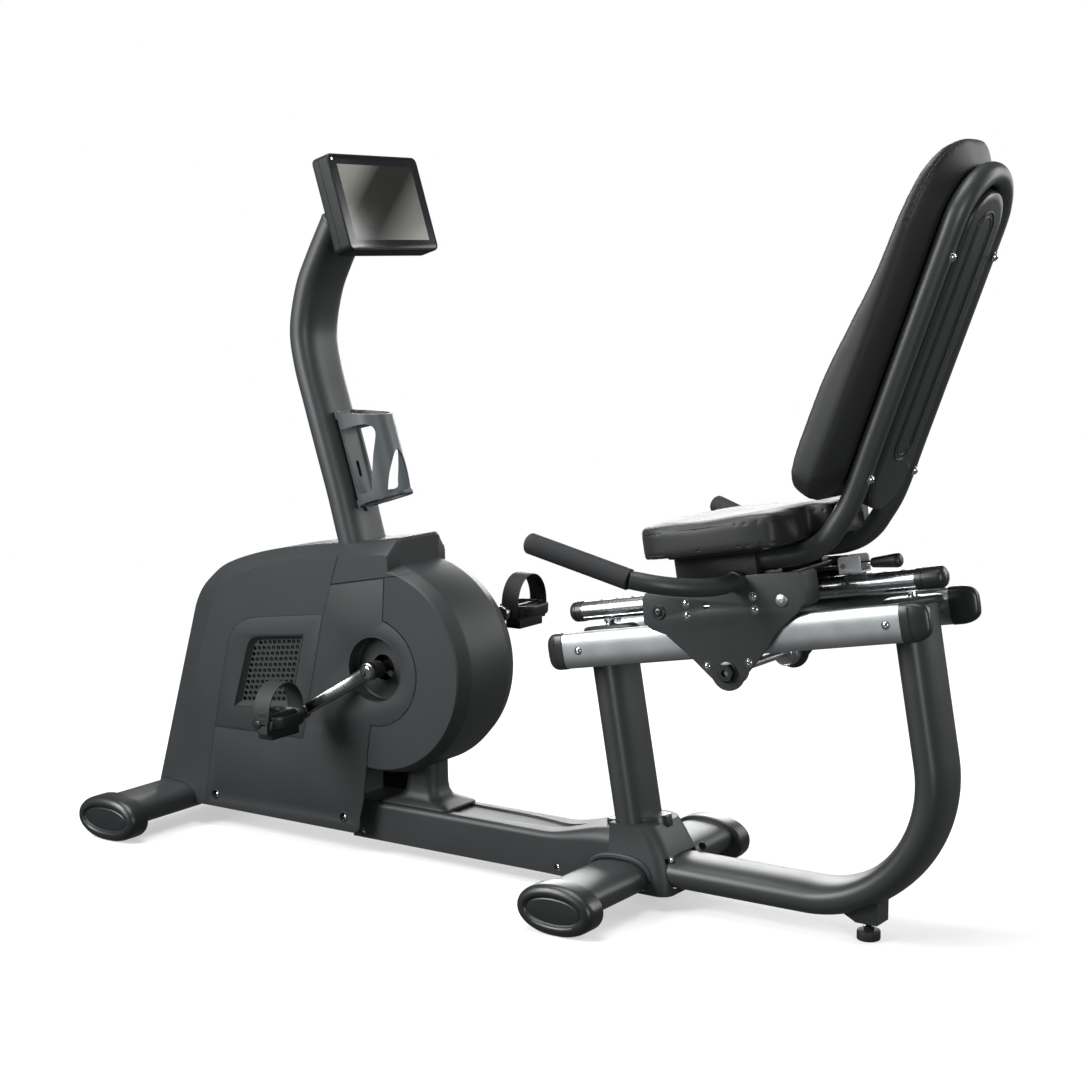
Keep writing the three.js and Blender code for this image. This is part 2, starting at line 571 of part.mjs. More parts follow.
function pedalBody() {
  const { y, length, width } = PEDAL;
  const deck = upward(outline(roundedRect(width, length, 24, 0, 0, 4)), -12, 12, 2);
  const well = upward(outline(roundedRect(width - 10, length - 10, 20, 0, 0, 4)), 3, 20);
  const weight = box(-17, 17, -length / 2 + 10, length / 2 - 10, -36, -8);
  const tread = cut(join(deck, weight), well);
  const hub = barY(11, -length / 2 + 2, length / 2 - 2, 0, 0, 20);
  const bore = barY(PEDAL.axle + 0.5, 3 - length / 2, length / 2 + 5, 0, 0, 20);
  return cut(join(tread, hub), bore).translate(0, -y, 0);
}

function pedalStrap() {
  const { y, length } = PEDAL;
  const half = length / 2 + 1;
  const rise = PEDAL.strapRise;
  const bow = (grow) => arc(0, 10, 1, 0, 180, 16).map(([c, s]) => [c * (half + grow), 10 + (s - 10) * (rise + grow)]);
  const band = outline([...bow(2.5), [-half - 2.5, -14], [-half, -14], ...bow(0).reverse(), [half, -14], [half + 2.5, -14]]);
  const axleHole = barY(9, 0, half + 5, 0, 0, 16);
  return cut(along(band, -20, 20), axleHole).translate(0, -y, 0);
}

function buildCranks() {
  for (const [label, side] of SIDES) {
    const turn = side < 0 ? 180 - CRANK.angle : -CRANK.angle;
    const arm = mirrorY(crankArm(), side).rotateY(rad(turn)).translate(CRANK.x, 0, CRANK.z);
    add(`crank_arm_${label}`, arm, FINISH.chrome);
    const eyeX = CRANK.x + CRANK.radius * Math.cos(rad(turn));
    const eyeZ = CRANK.z - CRANK.radius * Math.sin(rad(turn));
    add(`pedal_${label}`, mirrorY(pedalBody(), side).translate(eyeX, 0, eyeZ), FINISH.black);
    add(`pedal_strap_${label}`, mirrorY(pedalStrap(), side).translate(eyeX, 0, eyeZ), FINISH.black);
  }
}

// ---------------------------------------------------------------- console
function buildConsole() {
  const { width, height, depth } = DISPLAY;
  const body = along(outline(roundedRect(width, height, 12)), -depth, -GAP - 2, 3);
  const theta = rad(DISPLAY.tilt);
  const dx = HINGE.x - DISPLAY.x;
  const dz = HINGE.z - DISPLAY.z;
  const hx = dx * Math.cos(theta) + dz * Math.sin(theta);
  const hz = -dx * Math.sin(theta) + dz * Math.cos(theta);
  const lug = cut(join(barY(11, -20, 20, hx, hz), box(hx, 3 - depth, -20, 20, hz - 9, hz + 9)), barY(5.4, -30, 30, hx, hz));
  add('display_housing', join(body, lug), FINISH.black, screen);
  add('display_glass', along(outline(roundedRect(width - 2, height - 2, 11)), -2, 0), FINISH.glass, screen);
  // Fork on top of the mast: a cap plate, two ears and the hinge pin.
  const t = [0.481, 0.876];
  const p = [0.876, -0.481];
  const at = (a, b) => [MAST_TOP.x + a * p[0] + b * t[0], MAST_TOP.z + a * p[1] + b * t[1]];
  const capPlate = across(outline([at(-28, 0.5), at(28, 0.5), at(28, 7), at(-28, 7)]), -56, 56);
  const ear = outline([at(-20, 2), at(27, 2), [-658, 1257], [-655, 1266], [-659, 1278], [-672, 1281]]);
  const fork = join(capPlate, across(ear, -28, -21), across(ear, 21, 28), barY(5, -28, 28, HINGE.x, HINGE.z));
  add('display_bracket', fork, FINISH.frame);
}

// ---------------------------------------------------------------- seat carriage
const PLATE_OUTLINE = [
  [67, 80], [64, 38], [78, 27], [104, 17], [151, -29], ...arc(218, -58, 33, 200, 340, 8),
  [297, -27], [330, 9], [375, 38], [382, 104], [300, 107], [110, 104],
];

function carriagePlate() {
  const outer = -(PLATE.inner + PLATE.thickness);
  const plate = across(outline(PLATE_OUTLINE), outer, -PLATE.inner, 1);
  const flange = across(outline([[375, 40], [386, 46], [386, 100], [382, 103], [370, 103]]), outer, -64);
  const hole = barY(6, -140, -100, 194.5, 60, 16);
  const axleHole = barY(6.4, -140, -100, ROLLER.s, ROLLER.n, 20);
  return cut(join(plate, flange), hole, axleHole);
}

function buildCarriage() {
  addPair('carriage_plate', carriagePlate(), FINISH.frame, incline);
  // Tray between the plates, with four pads that rest on the rails and a bracket for the lock lever.
  const wide = PLATE.inner - GAP;
  const legOuter = BACK.legY + BACK.tube + GAP;
  const tray = [box(TRAY.front, TRAY.rear, -wide, wide, TRAY.bottom, TRAY.top)];
  for (const side of [-1, 1]) {
    const strip = (s0, s1, near, far, n0, n1) =>
      box(s0, s1, Math.min(side * near, side * far), Math.max(side * near, side * far), n0, n1);
    for (const s of [130, 318]) tray.push(strip(s - 24, s + 12, RAIL.y - 14, RAIL.y + 14, RAIL.height / 2 + 2 * GAP, 94));
    for (const s of [206, 300]) tray.push(strip(s, s + 26, BACK.legY - 12, BACK.legY + 12, 98, BACK.legN - BACK.tube - GAP));
    tray.push(strip(140, 300, legOuter, 118, 98, BACK.legN + BACK.tube));
    tray.push(across(outline([[404, 82], [446, 82], [446, 108], [440, 113], [410, 113], [404, 100]]),
      side * 18 - 2, side * 18 + 2));
  }
  tray.push(box(TRAY.rear - 10, 406, -20, 20, TRAY.bottom, 96), box(404, 446, -20, 20, 82, 85));
  const pinHole = barY(4.4, -30, 30, LEVER.s, LEVER.n, 16);
  const camSpace = box(LEVER.s - 10, LEVER.s + 10, -16, 16, 85.5, LEVER.n + 12);
  add('seat_tray', cut(join(...tray), pinHole, camSpace), FINISH.frame, incline);
  const { s, n, radius } = ROLLER;
  const wheel = RAIL.y;
  const profile = [[0, -wheel - 14], [radius - 1.5, -wheel - 14], [radius, -wheel - 12], [radius, -wheel + 12],
    [radius - 1.5, -wheel + 14], [8, -wheel + 14], [8, wheel - 14], [radius - 1.5, wheel - 14], [radius, wheel - 12],
    [radius, wheel + 12], [radius - 1.5, wheel + 14], [6, wheel + 14], [6, wheel + 14.1], [0, wheel + 14.1]];
  const roller = join(turned(profile, 20), barY(6, -PLATE.inner - 11, PLATE.inner + 11, 0, 0, 20));
  add('lower_roller', roller.translate(s, 0, n), FINISH.steel, incline);
}

// ---------------------------------------------------------------- seat lock lever
function buildLever() {
  const { s, n, rod, knob } = LEVER;
  const pin = barY(4, -21, 21, s, n, 16);
  const cam = barY(9, -15.5, 15.5, s, n, 20);
  const stem = barX(4.5, s, s + rod + 4, n, 14);
  const grip = turned([[0, 0], [8, 0], [9, 3], [13, knob - 9], [10, knob - 2], [0, knob]], 18)
    .rotateZ(-Math.PI / 2).translate(s + rod, 0, n);
  add('lock_lever', join(pin, cam, stem, grip), FINISH.black, incline);
}

// ---------------------------------------------------------------- seat
// Plan of the seat: round front corners, and a rear tongue that reaches between the backrest legs.
function seatPlan(inset) {
  const { front, rear, notch, halfWidth } = SEAT;
  const w = halfWidth - inset;
  const corner = front + inset + 70;
  const tongue = BACK.legY - BACK.tube - 6;
  const half = [
    [rear - inset, tongue], [notch - inset, tongue + 4], [notch - inset, w - 30], [notch - inset - 20, w - 8],
    [330, w], ...arc(corner, w - 70, 70, 90, 180, 6),
  ];
  return [...half, ...half.map(([s, y]) => [s, -y]).reverse()];
}

function buildSeat() {
  const legTop = BACK.legN + BACK.tube;
  add('seat_pan', upward(outline(seatPlan(30)), legTop + GAP, SEAT.panTop), FINISH.black, incline);
  const cushion = upward(outline(seatPlan(0)), SEAT.panTop + GAP, SEAT.top, SEAT.edge);
  add('seat_cushion', cushion, FINISH.vinyl, incline);
}

// ---------------------------------------------------------------- backrest
const sinB = Math.sin(rad(BACK.angle));
const cosB = Math.cos(rad(BACK.angle));
const reclined = (x, u) => [BACK.x + x * cosB + u * sinB, BACK.z - x * sinB + u * cosB];

function backrestPath() {
  const leg = (side) => {
    const y = side * BACK.legY;
    const level = [200, 260, 320, 345].map((s) => sloped(s, BACK.legN));
    const bend = [[372, 130.5], [400, 137], [426, 151], [446, 170]].map(([s, n]) => sloped(s, n));
    const straight = [20, 120, 250, 380, BACK.archU - 30].map((u) => reclined(0, u));
    return [...level, ...bend, ...straight].map(([x, z]) => [x, y, z]);
  };
  const top = arc(0, BACK.archU, BACK.legY, 160, 20, 7).map(([y, u]) => {
    const [x, z] = reclined(0, u);
    return [x, y, z];
  });
  return [...leg(-1), ...top, ...leg(1).reverse()];
}

function backOutline() {
  const { halfWidth: w, top, bottom } = BACKREST;
  return [...arc(w - 45, bottom + 45, 45, -90, 0, 4), ...arc(0, top - w, w, 0, 180, 18),
    ...arc(45 - w, bottom + 45, 45, 180, 270, 4)];
}

function buildBackrest() {
  const round = ovalShape(2 * BACK.tube, 2 * BACK.tube, { exponent: 2, count: 10, wall: 2.5 });
  add('backrest_frame', tubeAlong(backrestPath(), round, 40), FINISH.frame);
  // The pad's thickness swells at the small of the back and thins towards the head.
  const { back, top, bottom, halfWidth, shellTop } = BACKREST;
  const side = outline([[back - GAP, bottom], [-42, bottom - 2], [-78, 4], [-92, 18], [-102, 77], [-101, 192],
    [-89, 286], [-73, 393], [-69, 515], [-68, 580], [-58, 625], [-45, top], [back - GAP - 4, top + 2]]);
  const swell = across(side, -halfWidth - 5, halfWidth + 5);
  const slab = along(outline(backOutline()), -110, back - GAP, 10);
  add('backrest_cushion', common(slab, swell), FINISH.vinyl, recline);
  const shellWidth = 2 * (BACK.legY - BACK.tube - 3);
  const shell = along(outline(roundedRect(shellWidth, shellTop, shellWidth / 2 - 1, 0, shellTop / 2 - 2, 8)), back + GAP, 19, 4);
  add('backrest_shell', shell, FINISH.black, recline);
}

// ---------------------------------------------------------------- handles
function handlePath() {
  const start = -(PLATE.inner + PLATE.thickness + GAP);
  return [[239, start + 3, 634], [238, start - 22, 633], [233, -178, 632], [218, -212, 632.5], [196, -246, 636],
    [168, -276, 642], [130, -298, 650]];
}

function buildHandles() {
  const round = (radius) => ovalShape(2 * radius, 2 * radius, { exponent: 2, count: 14 });
  const tube = tubeAlong(handlePath(), round(HANDLE.tube), 12);
  const grip = tubeAlong([[130, -298, 650], [60, -308, 669.5], [-48, -328.5, 701]], round(HANDLE.grip), 2);
  const end = new THREE.SphereGeometry(HANDLE.grip, 14, 7).scale(0.6, 1, 1).translate(-48, -328.5, 701);
  const inside = -(PLATE.inner + PLATE.thickness + GAP);
  addPair('handle', cut(join(tube, grip, end), box(100, 400, inside, 0, 500, 800)), FINISH.foam);
}

buildBase();
buildSeatPost();
buildRearBow();
buildBeamCover();
buildPostCover();
buildDrumSupport();
buildRails();
buildGuide();
buildMast();
buildHousing();
buildInnerFrame();
buildFlywheel();
buildCranks();
buildConsole();
buildCarriage();
buildLever();
buildSeat();
buildBackrest();
buildHandles();

export default bike;
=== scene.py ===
# %% [markdown]
# # A recumbent exercise bike, piece by piece
#
# The bike has a steel base on two oval feet, a plastic housing with a flywheel inside, a curved mast
# with a tilting display, and a seat carriage that rolls on two sloping rails. The working model holds
# the true sizes and the joints. This script dresses it: every visible piece is rebuilt with a fine mesh
# or keeps its shape, and gets a finish made of shader nodes. All shapes are written in millimetres, in
# the maker's own coordinates, and matrices carry them into the scene's metres.

# %% Load the working model
import math
import bpy
import bmesh
from mathutils import Matrix, Vector
from mathutils.kdtree import KDTree


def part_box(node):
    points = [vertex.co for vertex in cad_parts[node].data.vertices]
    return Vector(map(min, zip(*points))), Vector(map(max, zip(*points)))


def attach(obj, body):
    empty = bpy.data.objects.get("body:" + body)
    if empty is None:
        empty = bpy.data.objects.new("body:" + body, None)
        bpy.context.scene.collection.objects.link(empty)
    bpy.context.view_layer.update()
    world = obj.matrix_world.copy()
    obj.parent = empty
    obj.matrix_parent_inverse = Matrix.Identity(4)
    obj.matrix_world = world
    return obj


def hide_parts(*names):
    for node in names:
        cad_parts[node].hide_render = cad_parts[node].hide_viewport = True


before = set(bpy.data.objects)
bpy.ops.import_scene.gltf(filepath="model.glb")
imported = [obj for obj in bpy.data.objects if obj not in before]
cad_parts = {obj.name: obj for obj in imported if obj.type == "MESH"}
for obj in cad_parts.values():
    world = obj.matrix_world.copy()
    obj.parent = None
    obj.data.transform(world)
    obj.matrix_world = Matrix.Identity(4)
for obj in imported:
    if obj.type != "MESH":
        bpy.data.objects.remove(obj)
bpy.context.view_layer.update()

# %% [markdown]
# ## Places
#
# A person drawing this bike would measure along the rails for the seat, along the leaning tubes for the
# backrest, and from the middle of the screen for the display. So each of those has its own frame, a
# matrix that turns millimetres there into metres in the scene. The rear foot's tube fixes where the
# maker's X starts: its middle is 25 mm in front of zero.

# %% Frames of reference
REAR_FOOT_X = -25
foot_low, foot_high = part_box("rear_foot_tube")
start = (foot_low.x + foot_high.x) / 2 - REAR_FOOT_X * 0.001


def turned_frame(x, z, degrees):
    return BIKE @ Matrix.Translation((x, 0, z)) @ Matrix.Rotation(math.radians(degrees), 4, "Y")


BIKE = Matrix.Translation((start, 0, 0)) @ Matrix.Scale(0.001, 4)
SLOPE, RAIL_HEIGHT = 10.1, 492                       # the rails' rise in degrees, and their height at X = 0
LEAN, BACK_FOOT = 20.1, (430, 767)                   # the backrest's lean, and the foot of its frame
SCREEN_TILT, SCREEN_MIDDLE = 17.6, (-612, 1287.5)    # each middle or foot is an X and a Z
CAGE_LEAN, CAGE_MIDDLE = 17.5, (-725, 780)
RAILS = turned_frame(0, RAIL_HEIGHT, -SLOPE)         # X up along the rails, Z square to them
RECLINE = turned_frame(*BACK_FOOT, LEAN)             # Z up along the backrest tubes, X backwards
SCREEN = turned_frame(*SCREEN_MIDDLE, -SCREEN_TILT)  # X out of the screen
CAGE = turned_frame(*CAGE_MIDDLE, -CAGE_LEAN)        # Z up along the lower mast, X towards the rider
print("maker's zero lies at", round(start, 4), "m")


def sloped(s, n):
    """A point of the rail frame, in the bike's own millimetres."""
    a = math.radians(SLOPE)
    return s * math.cos(a) - n * math.sin(a), RAIL_HEIGHT + s * math.sin(a) + n * math.cos(a)


def reclined(x, u):
    """A point of the backrest frame, in the bike's own millimetres."""
    a = math.radians(LEAN)
    return BACK_FOOT[0] + x * math.cos(a) + u * math.sin(a), BACK_FOOT[1] - x * math.sin(a) + u * math.cos(a)


# %% [markdown]
# ## Outlines
#
# Most sections on this bike are flat ovals. A superellipse draws them: exponent 2 is an ellipse, and a
# larger one is boxier. The rest are rounded rectangles and arcs.

# %% Outline helpers
def oval(width, height, exponent=2.5, count=64):
    points = []
    for i in range(count):
        angle = 2 * math.pi * i / count
        c, s = math.cos(angle), math.sin(angle)
        points.append((width / 2 * math.copysign(abs(c) ** (2 / exponent), c),
                       height / 2 * math.copysign(abs(s) ** (2 / exponent), s)))
    return points


def arc(cx, cy, radius, first, last, count=12):
    steps = [math.radians(first + (last - first) * i / count) for i in range(count + 1)]
    return [(cx + radius * math.cos(a), cy + radius * math.sin(a)) for a in steps]


def rounded(width, height, radius, cx=0, cy=0, count=8):
    x, y = width / 2 - radius, height / 2 - radius
    return (arc(cx + x, cy + y, radius, 0, 90, count) + arc(cx - x, cy + y, radius, 90, 180, count)
            + arc(cx - x, cy - y, radius, 180, 270, count) + arc(cx + x, cy - y, radius, 270, 360, count))


def circle(radius, count=32):
    return oval(2 * radius, 2 * radius, 2, count)


def smooth_line(points, per_span=6, closed=False):
    """A Catmull-Rom curve through the points."""
    pts = [Vector(p) for p in points]
    n = len(pts)
    spans = n if closed else n - 1
    result = []
    for i in range(spans):
        if closed:
            p0, p1, p2, p3 = pts[i - 1], pts[i], pts[(i + 1) % n], pts[(i + 2) % n]
        else:
            p1, p2 = pts[i], pts[i + 1]
            p0 = pts[i - 1] if i > 0 else p1 * 2 - p2
            p3 = pts[i + 2] if i + 2 < n else p2 * 2 - p1
        for k in range(per_span):
            t = k / per_span
            result.append(0.5 * (2 * p1 + (p2 - p0) * t + (2 * p0 - 5 * p1 + 4 * p2 - p3) * t * t
                                 + (3 * p1 - p0 - 3 * p2 + p3) * t ** 3))
    return result if closed else result + [pts[-1]]


def flat_line(points, per_span):
    """The same curve through the corners of a flat outline."""
    return [(p.x, p.y) for p in smooth_line([(x, y, 0) for x, y in points], per_span)]


print("an oval tube section has", len(oval(120, 60)), "points")

# %% [markdown]
# ## Meshes
#
# Four ways of making a solid cover almost everything: a section swept along a line, a profile turned
# about an axis, a stack of closed outlines, and a flat outline given a thickness with rounded edges.
# Each returns an object whose mesh is already in place, in metres. Faces are shaded smooth, and edges
# sharper than a given angle stay crisp.

# %% Mesh helpers
def new_object(name, vertices, faces, place):
    mesh = bpy.data.meshes.new(name)
    mesh.from_pydata([place @ Vector(v) for v in vertices], [], faces)
    obj = bpy.data.objects.new(name, mesh)
    bpy.context.scene.collection.objects.link(obj)
    work = bmesh.new()
    work.from_mesh(mesh)
    bmesh.ops.remove_doubles(work, verts=work.verts, dist=2e-6)
    bmesh.ops.recalc_face_normals(work, faces=work.faces)
    work.to_mesh(mesh)
    work.free()
    return crisp(obj)


def crisp(obj, degrees=32):
    limit = math.radians(degrees)
    work = bmesh.new()
    work.from_mesh(obj.data)
    for face in work.faces:
        face.smooth = True
    for edge in work.edges:
        edge.smooth = len(edge.link_faces) == 2 and edge.calc_face_angle(0) < limit
    work.to_mesh(obj.data)
    work.free()
    return obj


def stack(name, rings, place, cap=True):
    """Joins closed rings of equal length, and closes the two ends."""
    count = len(rings[0])
    vertices = [p for ring in rings for p in ring]
    faces = []
    for r in range(len(rings) - 1):
        for i in range(count):
            j = (i + 1) % count
            faces.append((r * count + i, r * count + j, (r + 1) * count + j, (r + 1) * count + i))
    if cap:
        faces.append(tuple(range(count)))
        faces.append(tuple(range(len(rings) * count - count, len(rings) * count)))
    return new_object(name, vertices, faces, place)


def sweep(name, line, section, place=BIKE, side=(0, 1, 0), dome=(0, 0), scale=None):
    """Carries a section of (across, up) pairs along a line. dome rounds off the ends by that length."""
    pts = [Vector(p) for p in line]
    ends = [(pts[1] - pts[0]).normalized(), (pts[-1] - pts[-2]).normalized()]
    plan = [(i, 0.0, 1.0) for i in range(len(pts))]
    for end, length in enumerate(dome):
        if length:
            turns = [math.radians(a) for a in (15, 35, 55, 72, 84)]
            extra = [(0 if end == 0 else len(pts) - 1, (-1 if end == 0 else 1) * length * math.sin(a), math.cos(a))
                     for a in turns]
            plan = extra[::-1] + plan if end == 0 else plan + extra
    across = Vector(side)
    rings = []
    for i, push, grow in plan:
        before, after = pts[max(i - 1, 0)], pts[min(i + 1, len(pts) - 1)]
        heading = (after - before).normalized()
        if push:
            heading = ends[0] if i == 0 else ends[1]
        across = (across - heading * across.dot(heading)).normalized()
        up = heading.cross(across)
        size = grow * (scale(i / (len(pts) - 1)) if scale else 1)
        middle = pts[i] + heading * push
        rings.append([middle + across * (a * size) + up * (b * size) for a, b in section])
    return stack(name, rings, place)


AXES = {"X": Matrix.Rotation(math.radians(90), 4, "Y"), "Y": Matrix.Rotation(math.radians(-90), 4, "X"),
        "Z": Matrix.Identity(4)}


def turned(name, profile, place=BIKE, at=(0, 0, 0), axis="Y", steps=40):
    """Turns a profile of (radius, distance along the axis) pairs. A profile that ends where it began is a ring."""
    turns = [2 * math.pi * i / steps for i in range(steps)]
    rings = [[(max(radius, 5e-4) * math.cos(a), max(radius, 5e-4) * math.sin(a), along) for a in turns]
             for radius, along in profile]
    return stack(name, rings, place @ Matrix.Translation(at) @ AXES[axis], cap=profile[0] != profile[-1])


PLANES = {
    "XZ": Matrix(((1, 0, 0, 0), (0, 0, 1, 0), (0, 1, 0, 0), (0, 0, 0, 1))),
    "XY": Matrix.Identity(4),
    "YZ": Matrix(((0, 0, 1, 0), (1, 0, 0, 0), (0, 1, 0, 0), (0, 0, 0, 1))),
}


def plate(name, outline, low, high, plane="XZ", place=BIKE, edge=0.0, holes=(), segments=3):
    """A flat outline, thickened from low to high across its plane, with its edges rounded by edge."""
    curve = bpy.data.curves.new(name, "CURVE")
    curve.dimensions = "2D"
    curve.fill_mode = "BOTH"
    for ring in [outline, *holes]:
        line = curve.splines.new("POLY")
        line.points.add(len(ring) - 1)
        for point, (x, y) in zip(line.points, ring):
            point.co = (x, y, 0, 1)
        line.use_cyclic_u = True
    curve.extrude = (high - low) / 2 - edge
    curve.bevel_depth = edge
    curve.bevel_resolution = segments - 1
    curve.offset = -edge
    holder = bpy.data.objects.new(name + "_curve", curve)
    bpy.context.scene.collection.objects.link(holder)
    mesh = bpy.data.meshes.new_from_object(holder.evaluated_get(bpy.context.evaluated_depsgraph_get()))
    bpy.data.objects.remove(holder)
    bpy.data.curves.remove(curve)
    middle = (low + high) / 2
    vertices = [PLANES[plane] @ Vector((v.co.x, v.co.y, v.co.z + middle)) for v in mesh.vertices]
    faces = [tuple(p.vertices) for p in mesh.polygons]
    bpy.data.meshes.remove(mesh)
    return new_object(name, vertices, faces, place)


def block(name, low, high, place=BIKE, edge=0.0, segments=2):
    (x0, y0, z0), (x1, y1, z1) = low, high
    return plate(name, [(x0, y0), (x1, y0), (x1, y1), (x0, y1)], z0, z1, "XY", place, edge, (), segments)


def mirrored(obj, name):
    """A copy for the other side of the bike."""
    twin = bpy.data.objects.new(name, obj.data.copy())
    bpy.context.scene.collection.objects.link(twin)
    twin.data.transform(Matrix.Scale(-1, 4, (0, 1, 0)))
    twin.data.flip_normals()
    return twin


def merge(name, *objects):
    """Puts several solids into one piece."""
    work = bmesh.new()
    for obj in objects:
        work.from_mesh(obj.data)
    mesh = bpy.data.meshes.new(name)
    work.to_mesh(mesh)
    work.free()
    for obj in objects:
        bpy.data.objects.remove(obj)
    result = bpy.data.objects.new(name, mesh)
    bpy.context.scene.collection.objects.link(result)
    return result


def carve(obj, *tools, operation="DIFFERENCE", keep_tools=False, solver="MANIFOLD"):
    """Cuts, joins or intersects with other solids, and applies the result."""
    for tool in tools:
        modifier = obj.modifiers.new("carve", "BOOLEAN")
        modifier.operation = operation
        modifier.object = tool
        modifier.solver = solver
        mesh = bpy.data.meshes.new_from_object(obj.evaluated_get(bpy.context.evaluated_depsgraph_get()))
        obj.modifiers.clear()
        obj.data = mesh
        if not keep_tools:
            bpy.data.objects.remove(tool)
    return crisp(obj)


print("mesh helpers ready")

# %% [markdown]
# ## Shader arithmetic
#
# A finish is a small network of nodes. Wiring it by hand is slow to read, so one class wraps a socket and
# lets it be added, subtracted and multiplied like a number, and each sum becomes a Math node. Colours are
# blended with Mix nodes. Every other node comes from one method, which sets the node up before it is
# given values or links.

# %% The socket class
class Signal:
    """The output of a node, used in ordinary arithmetic."""

    def __init__(self, finish, socket):
        self.finish, self.socket = finish, socket

    def maths(self, operation, first, second):
        return self.finish.node("Math", {"operation": operation}, {0: first, 1: second})

    def __add__(self, other):
        return self.maths("ADD", self, other)

    def __sub__(self, other):
        return self.maths("SUBTRACT", self, other)

    def __rsub__(self, other):
        return self.maths("SUBTRACT", other, self)

    def __mul__(self, other):
        return self.maths("MULTIPLY", self, other)

    def __pow__(self, other):
        return self.maths("POWER", self, other)

    __radd__, __rmul__ = __add__, __mul__


class Finish:
    """A material with one main shader. Values that are the same all over are set on it directly."""

    def __init__(self, name, color, **steady):
        self.material = bpy.data.materials.new(name)
        self.material.use_nodes = True
        self.tree = self.material.node_tree
        self.shader = self.tree.nodes["Principled BSDF"]
        self.shader.inputs["Base Color"].default_value = (*color, 1)
        for socket, value in steady.items():
            self.shader.inputs[socket.replace("_", " ")].default_value = value
        self.place = self.node("TexCoord", {}, {}, "Object")

    def node(self, kind, settings, sockets, output=0):
        made = self.tree.nodes.new("ShaderNode" + kind)
        for key, value in settings.items():
            if key == "stops":
                for k, (position, color) in enumerate(value):
                    stop = made.color_ramp.elements[k] if k < 2 else made.color_ramp.elements.new(position)
                    stop.position, stop.color = position, color
            else:
                setattr(made, key, value)
        for key, value in sockets.items():
            if isinstance(value, Signal):
                self.tree.links.new(value.socket, made.inputs[key])
            else:
                made.inputs[key].default_value = value
        return Signal(self, made.outputs[output])

    def noise(self, size, detail=2.0, stretch=(1, 1, 1)):
        """Soft random spots, size in millimetres."""
        where = self.node("Mapping", {}, {"Vector": self.place, "Scale": tuple(1000 / size * k for k in stretch)})
        return self.node("TexNoise", {}, {"Vector": where, "Scale": 1.0, "Detail": detail})

    def cells(self, size, feature="F1", stretch=(1, 1, 1)):
        """Pebbles or the cracks between them, size in millimetres."""
        where = self.node("Mapping", {}, {"Vector": self.place, "Scale": tuple(1000 / size * k for k in stretch)})
        return self.node("TexVoronoi", {"feature": feature}, {"Vector": where, "Scale": 1.0}, "Distance")

    def tint(self, mask, dark, light):
        return self.node("Mix", {"data_type": "RGBA"}, {0: mask, 6: (*dark, 1), 7: (*light, 1)}, 2)

    def drive(self, socket, signal):
        self.tree.links.new(signal.socket, self.shader.inputs[socket])

    def relief(self, height, depth, strength=1.0):
        """Raises and lowers the surface: depth is in millimetres."""
        bump = self.node("Bump", {}, {"Height": height, "Distance": depth * 0.001, "Strength": strength})
        self.drive("Normal", bump)


print("shader arithmetic ready")

# %% [markdown]
# ## Finishes
#
# The frame is powder coated: a charcoal paint with a faint metallic speckle and a slightly pebbled skin.
# The housing is moulded plastic with a spark-eroded grain, so it looks matt, with a little sparkle in
# raking light. Larger, weaker spots over both keep a wide panel from looking printed.

# %% Painted steel and moulded plastic
def shades(color, spread):
    return tuple(c * (1 - spread) for c in color), tuple(min(c * (1 + spread), 1) for c in color)


def powder_coat(name, color, metal=0.35, rough=0.42):
    coat = Finish(name, color, Metallic=metal, Coat_Roughness=0.25)
    speckle = coat.noise(0.9, 1.0)
    cloud = coat.noise(70, 3.0)
    dark, light = shades(color, 0.32)
    coat.drive("Base Color", coat.tint(speckle * 0.7 + cloud * 0.3, dark, light))
    coat.drive("Roughness", speckle * 0.14 + cloud * 0.08 + (rough - 0.11))
    coat.relief(coat.noise(1.3, 2.0), 0.10, 0.55)
    return coat.material


def grained_plastic(name, color, rough=0.5, grain=0.8, depth=0.07, shine=0.45):
    plastic = Finish(name, color, Specular_IOR_Level=shine)
    pits = plastic.cells(grain)
    spots = plastic.noise(0.6, 2.0)
    cloud = plastic.noise(120, 3.0)
    dark, light = shades(color, 0.28)
    plastic.drive("Base Color", plastic.tint(spots * 0.6 + cloud * 0.4, dark, light))
    plastic.drive("Roughness", spots * 0.16 + cloud * 0.1 + (rough - 0.13))
    plastic.relief(pits * 0.5 + spots * 0.5, depth, 0.6)
    return plastic.material


FRAME_COAT = powder_coat("charcoal_powder_coat", (0.036, 0.0395, 0.0402), 0.25)
HOUSING = grained_plastic("housing_plastic", (0.019, 0.0215, 0.0225))
BLACK_PLASTIC = grained_plastic("black_plastic", (0.009, 0.0102, 0.0106), 0.42, 1.1, 0.05)
CAP_PLASTIC = grained_plastic("end_cap_plastic", (0.014, 0.016, 0.0165), 0.34, 0.7, 0.03)
CAGE_PLASTIC = grained_plastic("bottle_cage_plastic", (0.058, 0.066, 0.070), 0.42, 0.9, 0.04)
DISPLAY_PLASTIC = grained_plastic("display_plastic", (0.0065, 0.0075, 0.008), 0.56, 0.7, 0.03, 0.2)
LEVER_PLASTIC = grained_plastic("pale_bracket_plastic", (0.42, 0.43, 0.44), 0.45, 0.9, 0.04)
print("painted steel and plastics:", len(bpy.data.materials))
